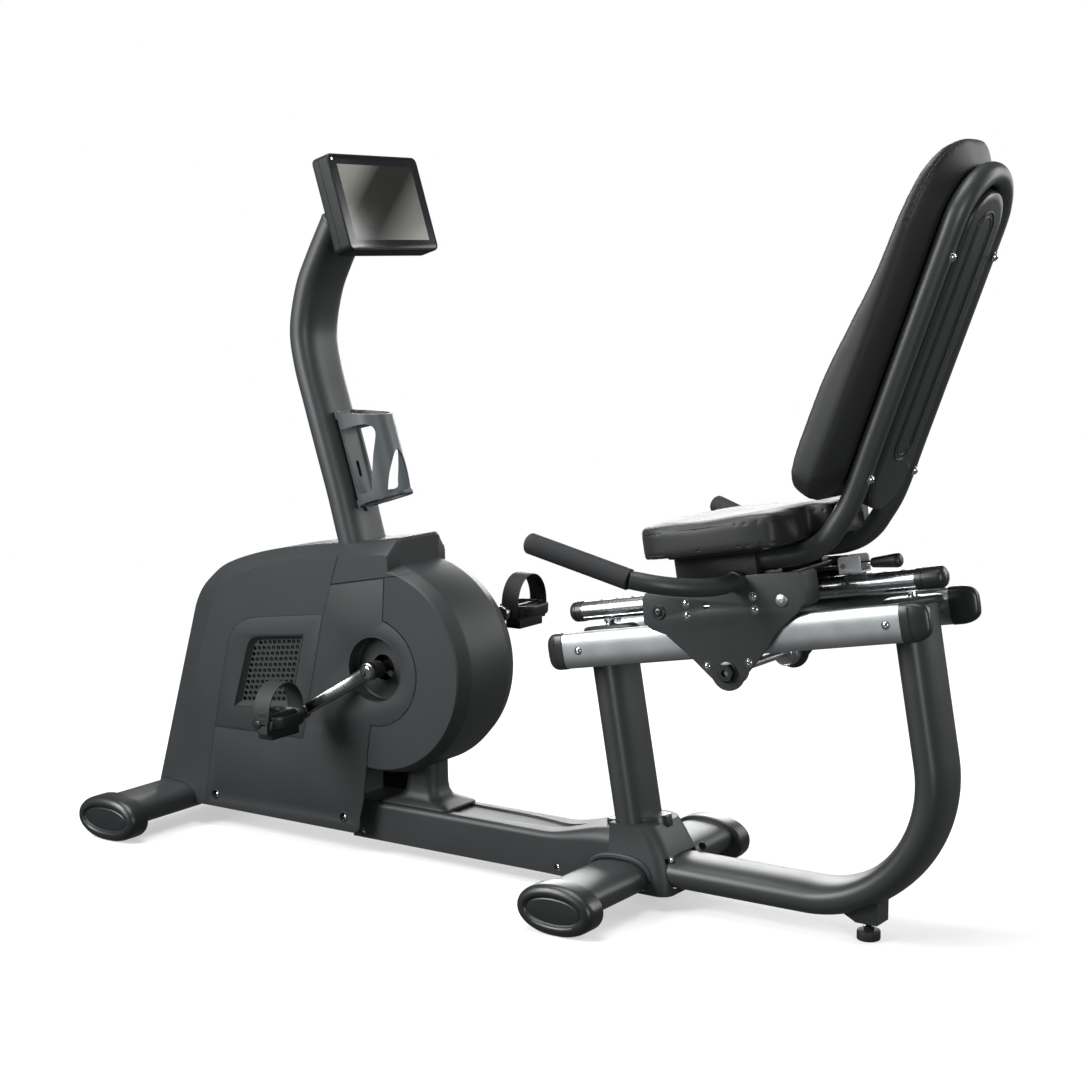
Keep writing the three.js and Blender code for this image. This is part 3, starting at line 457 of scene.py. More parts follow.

# %% [markdown]
# Bare metals differ in how they were worked. The rails are drawn aluminium with a satin, fine pearl;
# the guide rail is brushed along its length; bolts and cranks are polished chrome with a breath of
# smears, and the cranks' chrome is given a dark colour, a painted reflection of dark surroundings;
# turned steel shows rings. Brushed lines are noise that is stretched a long way in one direction.

# %% Bare metals
def bright_metal(name, color, rough, stretch=(1, 1, 1), grain=0.6, depth=0.01, spread=0.08):
    metal = Finish(name, color, Metallic=1.0)
    lines = metal.noise(grain, 3.0, stretch)
    smears = metal.noise(45, 3.0)
    dark, light = shades(color, spread)
    metal.drive("Base Color", metal.tint(lines * 0.6 + smears * 0.4, dark, light))
    metal.drive("Roughness", lines * 0.1 + smears * 0.1 + (rough - 0.1))
    metal.relief(lines, depth, 0.5)
    return metal.material


RAIL_METAL = bright_metal("rail_satin_aluminium", (0.46, 0.48, 0.49), 0.38, (0.3, 1, 1), 0.5, 0.02, 0.12)
GUIDE_METAL = bright_metal("guide_brushed_aluminium", (0.36, 0.372, 0.38), 0.26, (0.03, 1, 1), 0.5, 0.02, 0.18)
CHROME = bright_metal("polished_chrome", (0.62, 0.63, 0.64), 0.12)
# the cranks' chrome gets a dark base colour: a painted reflection of dark surroundings
CRANK_METAL = bright_metal("dark_polished_steel", (0.21, 0.215, 0.22), 0.24, (1, 1, 1), 0.5, 0.01, 0.12)
STEEL = bright_metal("turned_steel", (0.42, 0.43, 0.44), 0.3, (1, 1, 1), 0.4, 0.02, 0.15)
DARK_STEEL = bright_metal("blackened_steel", (0.07, 0.073, 0.075), 0.34, (1, 1, 1), 0.5, 0.02, 0.2)
print("metals:", RAIL_METAL.name, GUIDE_METAL.name, CHROME.name)

# %% [markdown]
# The cushions are covered in black upholstery vinyl. Its grain is a net of shallow creases round small
# pebbles, so the relief comes from the distance to the nearest cell edge; a few larger soft folds lie
# over it. The grips are closed-cell foam, which is duller and full of tiny pits. The screen is a glossy
# black sheet with a painted reflection: a fixed, faint brightening that runs from one corner to the other.

# %% Vinyl, foam, rubber and the screen
def upholstery(name, color):
    vinyl = Finish(name, color, Specular_IOR_Level=0.38, Sheen_Weight=0.04)
    creases = vinyl.cells(2.1, "DISTANCE_TO_EDGE")
    fine = vinyl.noise(0.8, 2.0)
    folds = vinyl.noise(60, 3.0)
    dark, light = shades(color, 0.3)
    vinyl.drive("Base Color", vinyl.tint(fine * 0.4 + folds * 0.6, dark, light))
    vinyl.drive("Roughness", 0.44 + creases * 0.18 + folds * 0.1)
    vinyl.relief(creases ** 0.5 * 0.9 + fine * 0.1 + folds * 1.5, 0.16, 0.5)
    return vinyl.material


def foam(name, color):
    grip = Finish(name, color, Specular_IOR_Level=0.25)
    pits = grip.cells(1.0)
    spots = grip.noise(2.0, 3.0)
    dark, light = shades(color, 0.35)
    grip.drive("Base Color", grip.tint(spots, dark, light))
    grip.drive("Roughness", spots * 0.12 + 0.66)
    grip.relief(pits + spots * 0.5, 0.14, 0.7)
    return grip.material


def rubber(name, color):
    sole = Finish(name, color, Specular_IOR_Level=0.35)
    spots = sole.noise(1.5, 3.0)
    dust = sole.noise(30, 3.0)
    dark, light = shades(color, 0.35)
    sole.drive("Base Color", sole.tint(spots * 0.5 + dust * 0.5, dark, light))
    sole.drive("Roughness", spots * 0.15 + 0.55)
    sole.relief(spots, 0.08, 0.6)
    return sole.material


VINYL = upholstery("black_upholstery_vinyl", (0.0095, 0.0103, 0.011))
FOAM = foam("foam_grip", (0.018, 0.019, 0.020))
RUBBER = rubber("black_rubber", (0.014, 0.015, 0.015))
print("soft finishes:", VINYL.name, FOAM.name, RUBBER.name)

# %% [markdown]
# ## Dressing a piece
#
# Each finished piece needs the same few things: a material, the body it moves with, and the nodes of
# the working model that it stands for, which the helper hides. One helper does all of that.

# %% The dressing helper
def dress(obj, body, material, finish, *stands_for):
    obj.data.materials.clear()
    obj.data.materials.append(material)
    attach(obj, body)
    if stands_for:
        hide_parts(*stands_for)
    return obj


def domed_bolt(name, radius, place, at, axis="Y", height=None, hollow=True):
    """A button-head bolt on a thin washer, with the socket for its key. It points up its axis."""
    h = height or radius * 0.62
    profile = [(0, 0), (radius * 1.28, 0), (radius * 1.28, h * 0.16), (radius * 1.02, h * 0.2)]
    turns = [math.radians(a) for a in (0, 18, 36, 52, 62)]
    profile += [(radius * math.cos(a), h * (0.2 + 0.8 * math.sin(a))) for a in turns]
    profile += [(radius * 0.4, h * 0.97), (radius * 0.36, h * 0.5), (0, h * 0.46)] if hollow else [(0, h)]
    return turned(name, profile, place, at, axis, 24)


def hex_nut(name, across, height, place, at, axis="Y", bore=0.0):
    corner = across / math.sqrt(3)
    ring = lambda r: [(r * math.cos(math.radians(60 * k)), r * math.sin(math.radians(60 * k))) for k in range(6)]
    rings = [[(x, y, 0) for x, y in ring(corner)], [(x, y, height * 0.82) for x, y in ring(corner)],
             [(x, y, height) for x, y in ring(corner * 0.9)]]
    if bore:
        rings += [[(x, y, height) for x, y in ring(bore)], [(x, y, height * 0.3) for x, y in ring(bore)]]
    return stack(name, rings, place @ Matrix.Translation(at) @ AXES[axis])


print("helpers for dressing and for bolts ready")

# %% [markdown]
# ## The base
#
# Two flat-oval tubes lie across the floor, and a box beam joins them. The ends wear deep oval caps with
# a rounded shoulder, a raised rim and a dished middle. Stacking ovals of changing size gives a cap in
# one closed skin, the way a lathe would if it could turn an oval.

# %% Foot tubes and their caps
FOOT_X = {"front": -1118, "rear": REAR_FOOT_X}
TUBE = oval(120, 60)


def oval_turned(name, width, height, exponent, profile, at, axis="Y", place=BIKE, floor=None):
    """Stacks ovals: the profile holds (inset, distance along the axis) pairs."""
    rings = []
    for inset, along in profile:
        ring = oval(max(width - 2 * inset, 0.5), max(height - 2 * inset, 0.5), exponent, 72)
        if floor is not None:
            ring = [(a, max(b, floor)) for a, b in ring]
        rings.append([{"X": (along, a, b), "Y": (a, along, b), "Z": (a, b, along)}[axis] for a, b in ring])
    return stack(name, rings, place @ Matrix.Translation(at))


CAP_PROFILE = [(7, -252.3), (2, -252.6), (0, -255), (0, -284), (0.8, -289), (3, -293.6), (6.5, -297.2), (11, -299.4),
               (15, -300), (18, -299.6), (20, -298), (21.5, -295.6), (24, -294.8), (25.4, -295.8), (27, -296),
               (40, -296.6),
               (46, -296.8)]
for label, x in FOOT_X.items():
    tube = sweep(f"{label}_foot_tube_fine", [(x, -252, 54), (x, 252, 54)], TUBE, side=(1, 0, 0))
    dress(tube, "frame", FRAME_COAT, "frame_coat", f"{label}_foot_tube")
    cap = oval_turned(f"{label}_foot_cap_left_fine", 160, 93.5, 2.1, CAP_PROFILE, (x, 0, 45.25), floor=-45.25)
    other = mirrored(cap, f"{label}_foot_cap_right_fine")
    dress(cap, "frame", CAP_PLASTIC, "cap", f"{label}_foot_cap_left")
    dress(other, "frame", CAP_PLASTIC, "cap", f"{label}_foot_cap_right")
print("feet:", [round(c, 3) for c in cap.dimensions])

# %% [markdown]
# The seat post stands square to the rails, and the rear bow runs back from the rear foot, sweeps round
# and comes up under the rails. Both are the same flat-oval tube. Sweeping the section along a line made
# of a straight and an arc keeps the tube's width true all the way round the bend.

# %% Beam, seat post and rear bow
RAIL_Y = 103.5
POST_S, BOW_S, TUBE_TOP = -86, 526, 20


def cross_bar(name, s):
    """The tube under the guide rail that reaches both side rails, with a weld bead at each side of the post."""
    bar = turned(name, [(0, -89), (12, -89), (12, 89), (0, 89)], RAILS, (s, 0, 0), "Y", 32)
    beads = [turned(name + "_bead", [(12, -3), (15.5, 0), (12, 3.5), (11, 0)], RAILS, (s, y, 0), "Y", 32)
             for y in (-61, 61)]
    return merge(name, bar, *beads)


beam = sweep("main_beam_fine", [(-1057.7, 0, 55.5), (-85.3, 0, 55.5)], rounded(100, 49, 8))
dress(beam, "frame", FRAME_COAT, "frame_coat", "main_beam")
post = sweep("post_tube", [(POST_S, 0, -392), (POST_S, 0, TUBE_TOP)], TUBE, RAILS)
post = merge("seat_post_fine", post, cross_bar("post_bar", POST_S))
dress(post, "frame", FRAME_COAT, "frame_coat", "seat_post")

top_x, top_z = sloped(BOW_S, TUBE_TOP)
bend = arc(336, 295, 230, SLOPE, -90, 40)
bow_line = [(x, 0, z) for x, z in [(top_x, top_z), *bend, (200, 65), (35.7, 65)]]
bow = sweep("bow_tube", bow_line, TUBE)
FOOT_BRACKET_X = 444
side_plate = [(396, 62), (404, 47), (430, 34), (470, 34), (470, 72), (396, 66)]
bracket = merge("bracket", *[plate("bracket_side", side_plate, y, y + 2.5, edge=0.5) for y in (-24, 21.5)],
                block("bracket_rear", (467.5, -22, 34), (470, 22, 74)),
                block("bracket_sole", (426, -22, 34), (468, 22, 37)))
bow = merge("rear_bow_fine", bow, cross_bar("bow_bar", BOW_S), bracket)
dress(bow, "frame", FRAME_COAT, "frame_coat", "rear_bow_tube")
print("rear bow:", len(bow.data.polygons), "faces")

# %% [markdown]
# Under the bow a levelling foot screws up and down: a rubber-soled pad, a lock nut and a threaded stem.
# The thread is a zigzag profile, which is near enough at this pitch.

# %% Levelling foot
pad = turned("levelling_pad", [(0, 0), (18, 0), (20.4, 1.2), (21, 3), (21, 15), (20, 17.4), (17, 18.6), (9, 19),
                               (0, 19)],
             at=(FOOT_BRACKET_X, 0, 0), axis="Z", steps=48)
dress(pad, "foot", RUBBER, "black", "leveling_foot")
thread = [(0, 17)] + [(5.9 if k % 2 else 5.0, 18 + 0.8 * k) for k in range(42)] + [(0, 51.6)]
stem = merge("levelling_stem", turned("stem", thread, at=(FOOT_BRACKET_X, 0, 0), axis="Z", steps=24),
             hex_nut("lock_nut", 18, 6, BIKE, (FOOT_BRACKET_X, 0, 19.2), "Z"))
dress(stem, "foot", DARK_STEEL, "black")
print("levelling foot stands on", round(min(v.co.z for v in pad.data.vertices), 5), "m")

# %% [markdown]
# ## Covers on the base
#
# A plastic cover runs along the beam and swells up to the seat post, where a second cover wraps the
# joint of post, foot and bow. They meet in a thin seam over the middle of the foot. Each is a stack of
# outlines that changes smoothly, with the tubes' shapes carved away, and an arched lip over the foot tube
# on each side. A long shallow recess that narrows to a point runs along the top of the beam cover.

# %% Beam cover
def ease(t):
    t = min(max(t, 0), 1)
    return t * t * (3 - 2 * t)


def cover_section(x):
    swell = ease((x + 210) / 150)
    half, top = 60 + 7 * swell, 106 + 28 * swell
    return [(x, y, z) for y, z in rounded(2 * half, top - 28 + 20, 12 + 14 * swell, 0, (top + 8) / 2, 8)]


def tube_tool(x, grow):
    return sweep("tool", [(x, -262, 54), (x, 262, 54)], oval(120 + grow, 60 + grow), side=(1, 0, 0))


stations = [-660, -657, -500, -400, -300, -230, -210, -190, -170, -150, -130, -110, -90, -75, -62, -51.8]
cover = stack("beam_cover_fine", [cover_section(x) for x in stations], BIKE)
carve(cover, block("tool", (-700, -80, -10), (0, 80, 28)),
      block("tool", (-661, -51, 0), (-40, 51, 94)), tube_tool(REAR_FOOT_X, 2),
      sweep("tool", [(POST_S, 0, -400), (POST_S, 0, -200)], oval(123, 63), RAILS))
recess = [(-445, -36), (-300, -33), (-215, -20), (-160, -7), (-140, 0), (-160, 7), (-215, 20), (-300, 33), (-445, 36)]
carve(cover, plate("tool", flat_line(recess, 5), 102.5, 126, "XY", edge=1.2))
for x, z in ((-636, 40), (-168, 44)):
    for well in ([(0, -70), (8, -70), (6.5, -56), (0, -56)], [(0, 56), (6.5, 56), (8, 70), (0, 70)]):
        carve(cover, turned("tool", well, at=(x, 0, z)))
dress(cover, "frame", HOUSING, "housing", "beam_cover")
print("beam cover:", len(cover.data.polygons), "faces")

# %% [markdown]
# The second cover tapers as it rises. The tubes that pass through it are drawn slightly too big and taken
# away, which leaves a thin even gap round each. The arched lips over the foot tube are flat half rings with
# rounded edges, and a soft collar seals the post where it leaves the cover.

# %% Joint cover, arches and collar
JOINT_FRONT, JOINT_FOOT, JOINT_HEIGHT = -82, 28, 122
joint_rings = []
for k in range(19):
    t = k / 18
    rear = 78 - 44 * t ** 2.2
    half = 74 - 9 * ease(t)
    outline = rounded(rear - JOINT_FRONT, 2 * half, 24 + 10 * t, (rear + JOINT_FRONT) / 2, 0)
    joint_rings.append([(x, y, JOINT_FOOT + JOINT_HEIGHT * t) for x, y in outline])
joint = stack("joint_cover_fine", joint_rings, BIKE)
carve(joint, block("tool", (-200, -100, 0), (-51.2, 100, 200)), tube_tool(REAR_FOOT_X, 2),
      sweep("tool", [(POST_S, 0, -450), (POST_S, 0, -200)], oval(122, 62), RAILS),
      sweep("tool", [(10, 0, 65), (120, 0, 65)], oval(123, 63)),
      block("tool", (-60, -56, 0), (72, 56, 95)))
for x, z in ((78, 96), (14, 84)):
    for y in (-66, 66):
        carve(joint, turned("tool", [(0, -12), (8, -12), (6.5, 12), (0, 12)], at=(x, y, z)))
dress(joint, "frame", HOUSING, "housing", "post_cover")

half_oval = lambda w, h: oval(w, h, 2.4, 96)[:49]
arch_ring = half_oval(140, 84) + half_oval(121.4, 61.4)[::-1]
for name, y in (("left", -76), ("right", 62)):
    lip = plate(f"foot_arch_{name}", [(REAR_FOOT_X + a, 54 + b) for a, b in arch_ring], y, y + 14, edge=3.5,
                segments=4)
    dress(lip, "frame", HOUSING, "housing")
collar = oval_turned("post_collar", 132, 72, 2.4, [(0, -352), (0, -334), (1, -331), (3, -329.6), (5, -329.5)],
                     (POST_S, 0, 0), "Z", RAILS)
dress(collar, "frame", CAP_PLASTIC, "housing")
print("joint cover:", len(joint.data.polygons), "faces")

# %% [markdown]
# Each well in a cover has a dark washer at its bottom and a bolt on it. Both are turned, once in the bike's
# frame and once in its mirror image.

# %% Bolts in the covers' wells
def sunk_bolt(name, x, y, z):
    """A dark washer at the bottom of a well and a button-head bolt on it, for both sides of the bike."""
    for side in (-1, 1):
        place = BIKE if side > 0 else BIKE @ Matrix.Scale(-1, 4, (0, 1, 0))
        label = f"{name}_{'left' if side < 0 else 'right'}"
        washer = turned(label + "_washer", [(0, -2), (7.6, -2), (7.6, -0.4), (7, 0), (0, 0)], place, (x, y, z))
        dress(washer, "frame", BLACK_PLASTIC, "black")
        dress(domed_bolt(label, 4.6, place, (x, y, z)), "frame", CHROME, "chrome")


for k, (x, y, z) in enumerate(((-636, 56.5, 40), (-168, 57.5, 44), (78, 58, 96), (14, 59, 84))):
    sunk_bolt(f"cover_bolt_{k}", x, y, z)
print("cover bolts: 4 a side")

# %% [markdown]
# ## The housing
#
# The housing is a flat-sided box with a broad bevel all round, and behind it stands a drum. The bevel is
# drawn with two outlines, a large one near the middle of the bike and a small one on the flat side. A
# stack of outlines between them makes the skin, a second stack just inside makes the hollow, and the
# panels are cut out of the skin along their seams, so that each seam is a real gap.

# %% The housing's outlines
FACE, WALL, FLOOR = 95, 4, 45
OUTER_LINE = [(-1197, FLOOR), (-1096, 389), (-1066, 480), (-1025, 528), (-971, 562), (-858, 595), (-683, 622),
              (-600, 626)]
FACE_LINE = [(-1131, FLOOR), (-1015, 426), (-986, 499), (-951, 532), (-898, 553), (-813, 576), (-677, 597),
             (-600, 606)]
CRANK_X, CRANK_Z = -574.5, 383


def inset(points, distance):
    """Moves each corner of an outline inwards."""
    count = len(points)
    pairs = zip(points, points[1:] + points[:1])
    area = sum(x0 * y1 - x1 * y0 for (x0, y0), (x1, y1) in pairs)
    sign = -math.copysign(distance, area)
    moved = []
    for i, (x, y) in enumerate(points):
        a = Vector((x - points[i - 1][0], y - points[i - 1][1])).normalized()
        b = Vector((points[(i + 1) % count][0] - x, points[(i + 1) % count][1] - y)).normalized()
        normal = Vector((a.y + b.y, -a.x - b.x)).normalized()
        reach = sign / max(0.5, normal.x * a.y - normal.y * a.x)
        moved.append((x + normal.x * reach, y + normal.y * reach))
    return moved


outer_outline = flat_line(OUTER_LINE, 8) + [(-590, 250), (-608, 116), (-629, 51), (-640, FLOOR)]
face_outline = flat_line(FACE_LINE, 8) + [(-594, 219), (-608, 116), (-629, 51), (-640, FLOOR)]
BEVEL = [(54, 1), (61, 0.985), (66, 0.9), (90, 0.12), (94, 0.025), (FACE, 0)]


def bevelled_block(name, outer, face, wall=0.0, drop=0.0):
    """A block whose sides are bevelled from the outer outline to the face outline."""
    shape = lambda ring: [(x, z - drop if z < FLOOR + 5 else z) for x, z in (inset(ring, wall) if wall else ring)]
    outer, face = shape(outer), shape(face)
    levels = [(y - wall, [(fx + (ox - fx) * w, fz + (oz - fz) * w) for (ox, oz), (fx, fz) in zip(outer, face)])
              for y, w in BEVEL]
    levels.append((FACE - wall, inset(face, 4)))
    rings = [[(x, -y, z) for x, z in ring] for y, ring in levels[::-1]]
    rings += [[(x, y, z) for x, z in ring] for y, ring in levels]
    return stack(name, rings, BIKE)


def drum_block(name, wall=0.0):
    profile = [(0, FACE - wall), (192 - wall, FACE - wall), (198 - wall, FACE - wall), (199.8 - wall, 93.8 - wall),
               (201 - wall, 91.4 - wall), (209.6 - wall, 66), (210.6 - wall, 63), (211 - wall, 60)]
    return turned(name, [(r, -y) for r, y in profile] + [(r, y) for r, y in profile[::-1]], at=(CRANK_X, 0, CRANK_Z),
                  steps=160)


TOP_OUTER = [(-700, 540), (-700, 617), (-660, 623), (-600, 633), (-546, 642), (-538, 642), (-533, 637), (-533, 540)]
TOP_FACE = [(-700, 540), (-700, 592), (-660, 600), (-600, 606), (-548, 612), (-543, 609), (-541, 600), (-540, 540)]
print("outlines:", len(outer_outline), "points round the shell")

# %% [markdown]
# Now the skin itself. Three blocks are joined into one body: the box, the drum and the raised block round
# the mast. A smaller copy of that body is taken out of the middle, and then the openings for the mast, the
# front foot and the beam. A boolean needs closed solids, and a stack of outlines always is one.

# %% Skin, hollow and openings
GRILLE_AREA = [(-998, 218), (-961, 379), (-956, 402), (-947, 421), (-933, 438), (-915, 448), (-897, 455), (-879, 459),
               (-703, 482), (-738, 321), (-760, 222)]
SEAM_ARC = arc(-580, 378, 107, 76, -93, 30)
SIDE_AREA = [(-1036, 20), (-998, 218), (-760, 222), (-738, 321), (-703, 482), (-683, 542), (-549, 567), *SEAM_ARC,
             (-594, 219), (-604, 116), (-606, 20)]
TOP_AREA = [(-683, 542), (-549, 567), (-500, 576), (-500, 700), (-632, 700)]
DRUM_AREA = [(-549, 567), *SEAM_ARC, (-594, 219), (-604, 116), (-300, 100), (-300, 700), (-500, 700)]
MAST_LINE = [(-659, 572), (-680, 634), (-704, 717), (-731, 800), (-761, 894), (-785, 973), (-794, 1041), (-778, 1120),
             (-751, 1179), (-712, 1250)]
SEAM = 1.5


def mast_tube(name, grow=0.0):
    line = [(x, 0, z) for x, z in flat_line(MAST_LINE, 8)]
    return sweep(name, line, oval(120 + grow, 60 + grow), BIKE)


def zone(outline, grow=0.0, low=-140, high=140):
    return plate("zone", inset(outline, -grow) if grow else outline, low, high)


skin = bevelled_block("skin", outer_outline, face_outline)
carve(skin, drum_block("drum"), bevelled_block("top", TOP_OUTER, TOP_FACE), operation="UNION")
hollow = bevelled_block("hollow", outer_outline, face_outline, WALL, 40)
carve(hollow, drum_block("drum", WALL), bevelled_block("top", TOP_OUTER, TOP_FACE, WALL), operation="UNION")
way_for_beam = plate("way", [(-61, 0), (61, 0), (61, 95), (48, 107.5), (-48, 107.5), (-61, 95)], -720, -560, "YZ")
carve(skin, hollow, mast_tube("hole", 2.4), tube_tool(-1118, 2), way_for_beam,
      block("nose", (-1300, -120, 20), (-1118, 120, 62)))
print("skin:", len(skin.data.polygons), "faces")

# %% [markdown]
# A panel is the part of the skin that lies inside its own outline. Its neighbours have that outline cut
# away a little wider, and the difference is the seam.

# %% Cut the skin into its panels
def part_of(name, keep=None, remove=()):
    """A copy of the skin: what lies inside keep, without what lies inside any of remove."""
    piece = bpy.data.objects.new(name, skin.data.copy())
    bpy.context.scene.collection.objects.link(piece)
    if keep:
        carve(piece, keep, operation="INTERSECT")
    return carve(piece, *remove) if remove else piece


drum_cover = part_of("drum_cover_fine", zone(DRUM_AREA), [zone(TOP_AREA, SEAM), zone(SIDE_AREA, SEAM)])
top_cover = part_of("top_cover_fine", zone(TOP_AREA))
shell = part_of("front_shell_fine", None, [zone(a, SEAM) for a in (TOP_AREA, SIDE_AREA, GRILLE_AREA, DRUM_AREA)])
bpy.data.objects.remove(skin)
dress(drum_cover, "frame", HOUSING, "housing", "drum_cover")
dress(top_cover, "frame", HOUSING, "housing", "top_cover")
dress(shell, "frame", HOUSING, "housing", "front_shell")
print("panels:", [len(o.data.polygons) for o in (drum_cover, top_cover, shell)])

# %% [markdown]
# The side panels are flat, so each is a plate with softly rounded edges. A deep round cup in it gives the
# crank room. In front of that sits the ventilation panel: a slanted window with sloping sides, and a
# moulded mesh of small rounded holes at the bottom of it.

# %% Side panels with their crank cups
def screw_well(name, x, z, y, radius=9, depth=6):
    """A dark cup sunk in the left panel, with a button-head screw in it. The panel gets a hole for it."""
    cup = [(radius, -0.3), (radius + 1.4, -0.2), (radius + 1.8, 0), (radius + 1.8, 0.2), (radius, 0.4),
           (radius - 1.5, depth), (0, depth), (0, depth + 1), (radius, depth + 1), (radius + 0.2, 1), (radius, -0.3)]
    bottom = BIKE @ Matrix.Translation((x, y + depth, z)) @ Matrix.Rotation(math.pi, 4, "Z")
    return turned(name + "_well", cup, at=(x, y, z)), domed_bolt(name + "_screw", 4.2, bottom, (0, 0, 0))


panel_outline = [(-1031, FLOOR), *SIDE_AREA[1:7], *SEAM_ARC, (-594, 219), (-606, 116), (-616, 78),
                 *arc(-636, 65, 20, -10, -90, 6)]
SCREWS = [(-999, 71), (-657, 74)]
crank_hole = [(CRANK_X + a, CRANK_Z + b) for a, b in circle(64, 72)]
screw_holes = [[(x + a, z + b) for a, b in circle(9, 24)] for x, z in SCREWS]
panel = plate("side_panel_left_fine", panel_outline, -FACE, -FACE + WALL, edge=0.8, holes=[crank_hole, *screw_holes])
cup_profile = [(64, -95), (66, -95.2), (67.2, -94.4), (67.5, -92), (67.5, -62), (26, -62), (26, -66), (60, -66),
               (63, -68), (64, -72), (64, -95)]
cup = turned("crank_cup", cup_profile, at=(CRANK_X, 0, CRANK_Z), steps=96)
panel = merge("side_panel_left_fine", panel, cup)
crisp(panel)
twin = mirrored(panel, "side_panel_right_fine")
dress(panel, "frame", HOUSING, "housing", "side_panel_left")
dress(twin, "frame", HOUSING, "housing", "side_panel_right")
for k, (x, z) in enumerate(SCREWS):
    well, screw = screw_well(f"panel_{k}", x, z, -FACE)
    for obj, material, finish in ((well, BLACK_PLASTIC, "black"), (screw, CHROME, "chrome")):
        other = mirrored(obj, obj.name + "_right")
        dress(obj, "frame", material, finish)
        dress(other, "frame", material, finish)
print("side panels:", len(panel.data.polygons), "faces each")

# %% [markdown]
# The mesh behind the window is one flat outline with many small holes, which is much lighter than cutting
# each with a boolean. The holes lie on a grid between the window's four corners, so they follow its slant.

# %% Ventilation panels
window = [(-754, 435), (-868, 421), *flat_line([(-884, 418), (-896, 410), (-904, 397)], 3), (-944, 265), (-788, 283)]
grille = plate("grille_frame", GRILLE_AREA, -FACE, -FACE + WALL, edge=0.8, holes=[window])
funnel_levels = [(-95.6, -1.5), (-95.6, 0.4), (-84, 11), (-81, 11), (-81, -1.5), (-95.6, -1.5)]
funnel_rings = [[(x, y, z) for x, z in inset(window, d)] for y, d in funnel_levels]
funnel = stack("funnel", funnel_rings, BIKE, cap=False)
mesh_outline = inset(window, 9)
ROWS, COLUMNS, SLANT = 11, 10, 0.12
holes = []
for row in range(ROWS):
    for column in range(COLUMNS):
        u, v = (column + 0.5) / COLUMNS, (row + 0.5) / ROWS
        left = Vector((-893, 408)).lerp(Vector((-930, 276)), v)
        right = Vector((-768, 424)).lerp(Vector((-799, 291)), v)
        middle = left.lerp(right, u)
        if row == 0 and column == 0:
            continue  # the window's corner is rounded there
        holes.append([(middle.x + a - b * SLANT, middle.y + b + a * SLANT) for a, b in oval(8.4, 7.4, 4, 12)])
mesh_plate = plate("mesh", mesh_outline, -85, -81.4, edge=0.3, holes=holes, segments=1)
behind = plate("behind", inset(mesh_outline, -4), -76, -74)
grille = merge("grille_left_fine", grille, funnel, mesh_plate, behind)
other = mirrored(grille, "grille_right_fine")
dress(grille, "frame", HOUSING, "grille", "grille_left")
dress(other, "frame", HOUSING, "grille", "grille_right")
print("ventilation holes:", len(holes), "a side")

# %% [markdown]
# Between the drum and the beam cover stands a short pillar with a flared foot.

# %% Drum support
def pillar_ring(z, width, depth, radius):
    return [(x, y, z) for x, y in rounded(width, depth, radius, -517, 0)]


levels = [(106.4, 166, 108, 12), (109, 166, 108, 12), (111, 163, 105, 12), (117, 122, 88, 18), (118.5, 112, 84, 20),
          (124, 92, 74, 24), (134, 80, 69, 24), (150, 75, 67, 24), (215, 73, 66, 24)]
pillar = stack("drum_support_fine", [pillar_ring(*level) for level in levels], BIKE)
carve(pillar, turned("tool", [(0, -120), (211.4, -120), (211.4, 120), (0, 120)], at=(CRANK_X, 0, CRANK_Z), steps=160))
dress(pillar, "frame", HOUSING, "housing", "drum_support")
print("drum support:", len(pillar.data.polygons), "faces")

# %% [markdown]
# ## Mast and bottle cage
#
# The mast is one bent tube, so it is one sweep. The bottle cage is moulded: a spine with side flanges, a
# wrap with a tall window at each side, and two ribs that meet over a pointed opening in front.

# %% Mast
mast = mast_tube("mast_fine")
dress(mast, "frame", FRAME_COAT, "frame_coat", "mast")
print("mast:", len(mast.data.polygons), "faces")

# %% [markdown]
# The cage starts as a closed band of even wall. The slanted mouth, the side windows and the pointed front
# opening are then cut straight through it, so the wall has the same thickness at every edge.

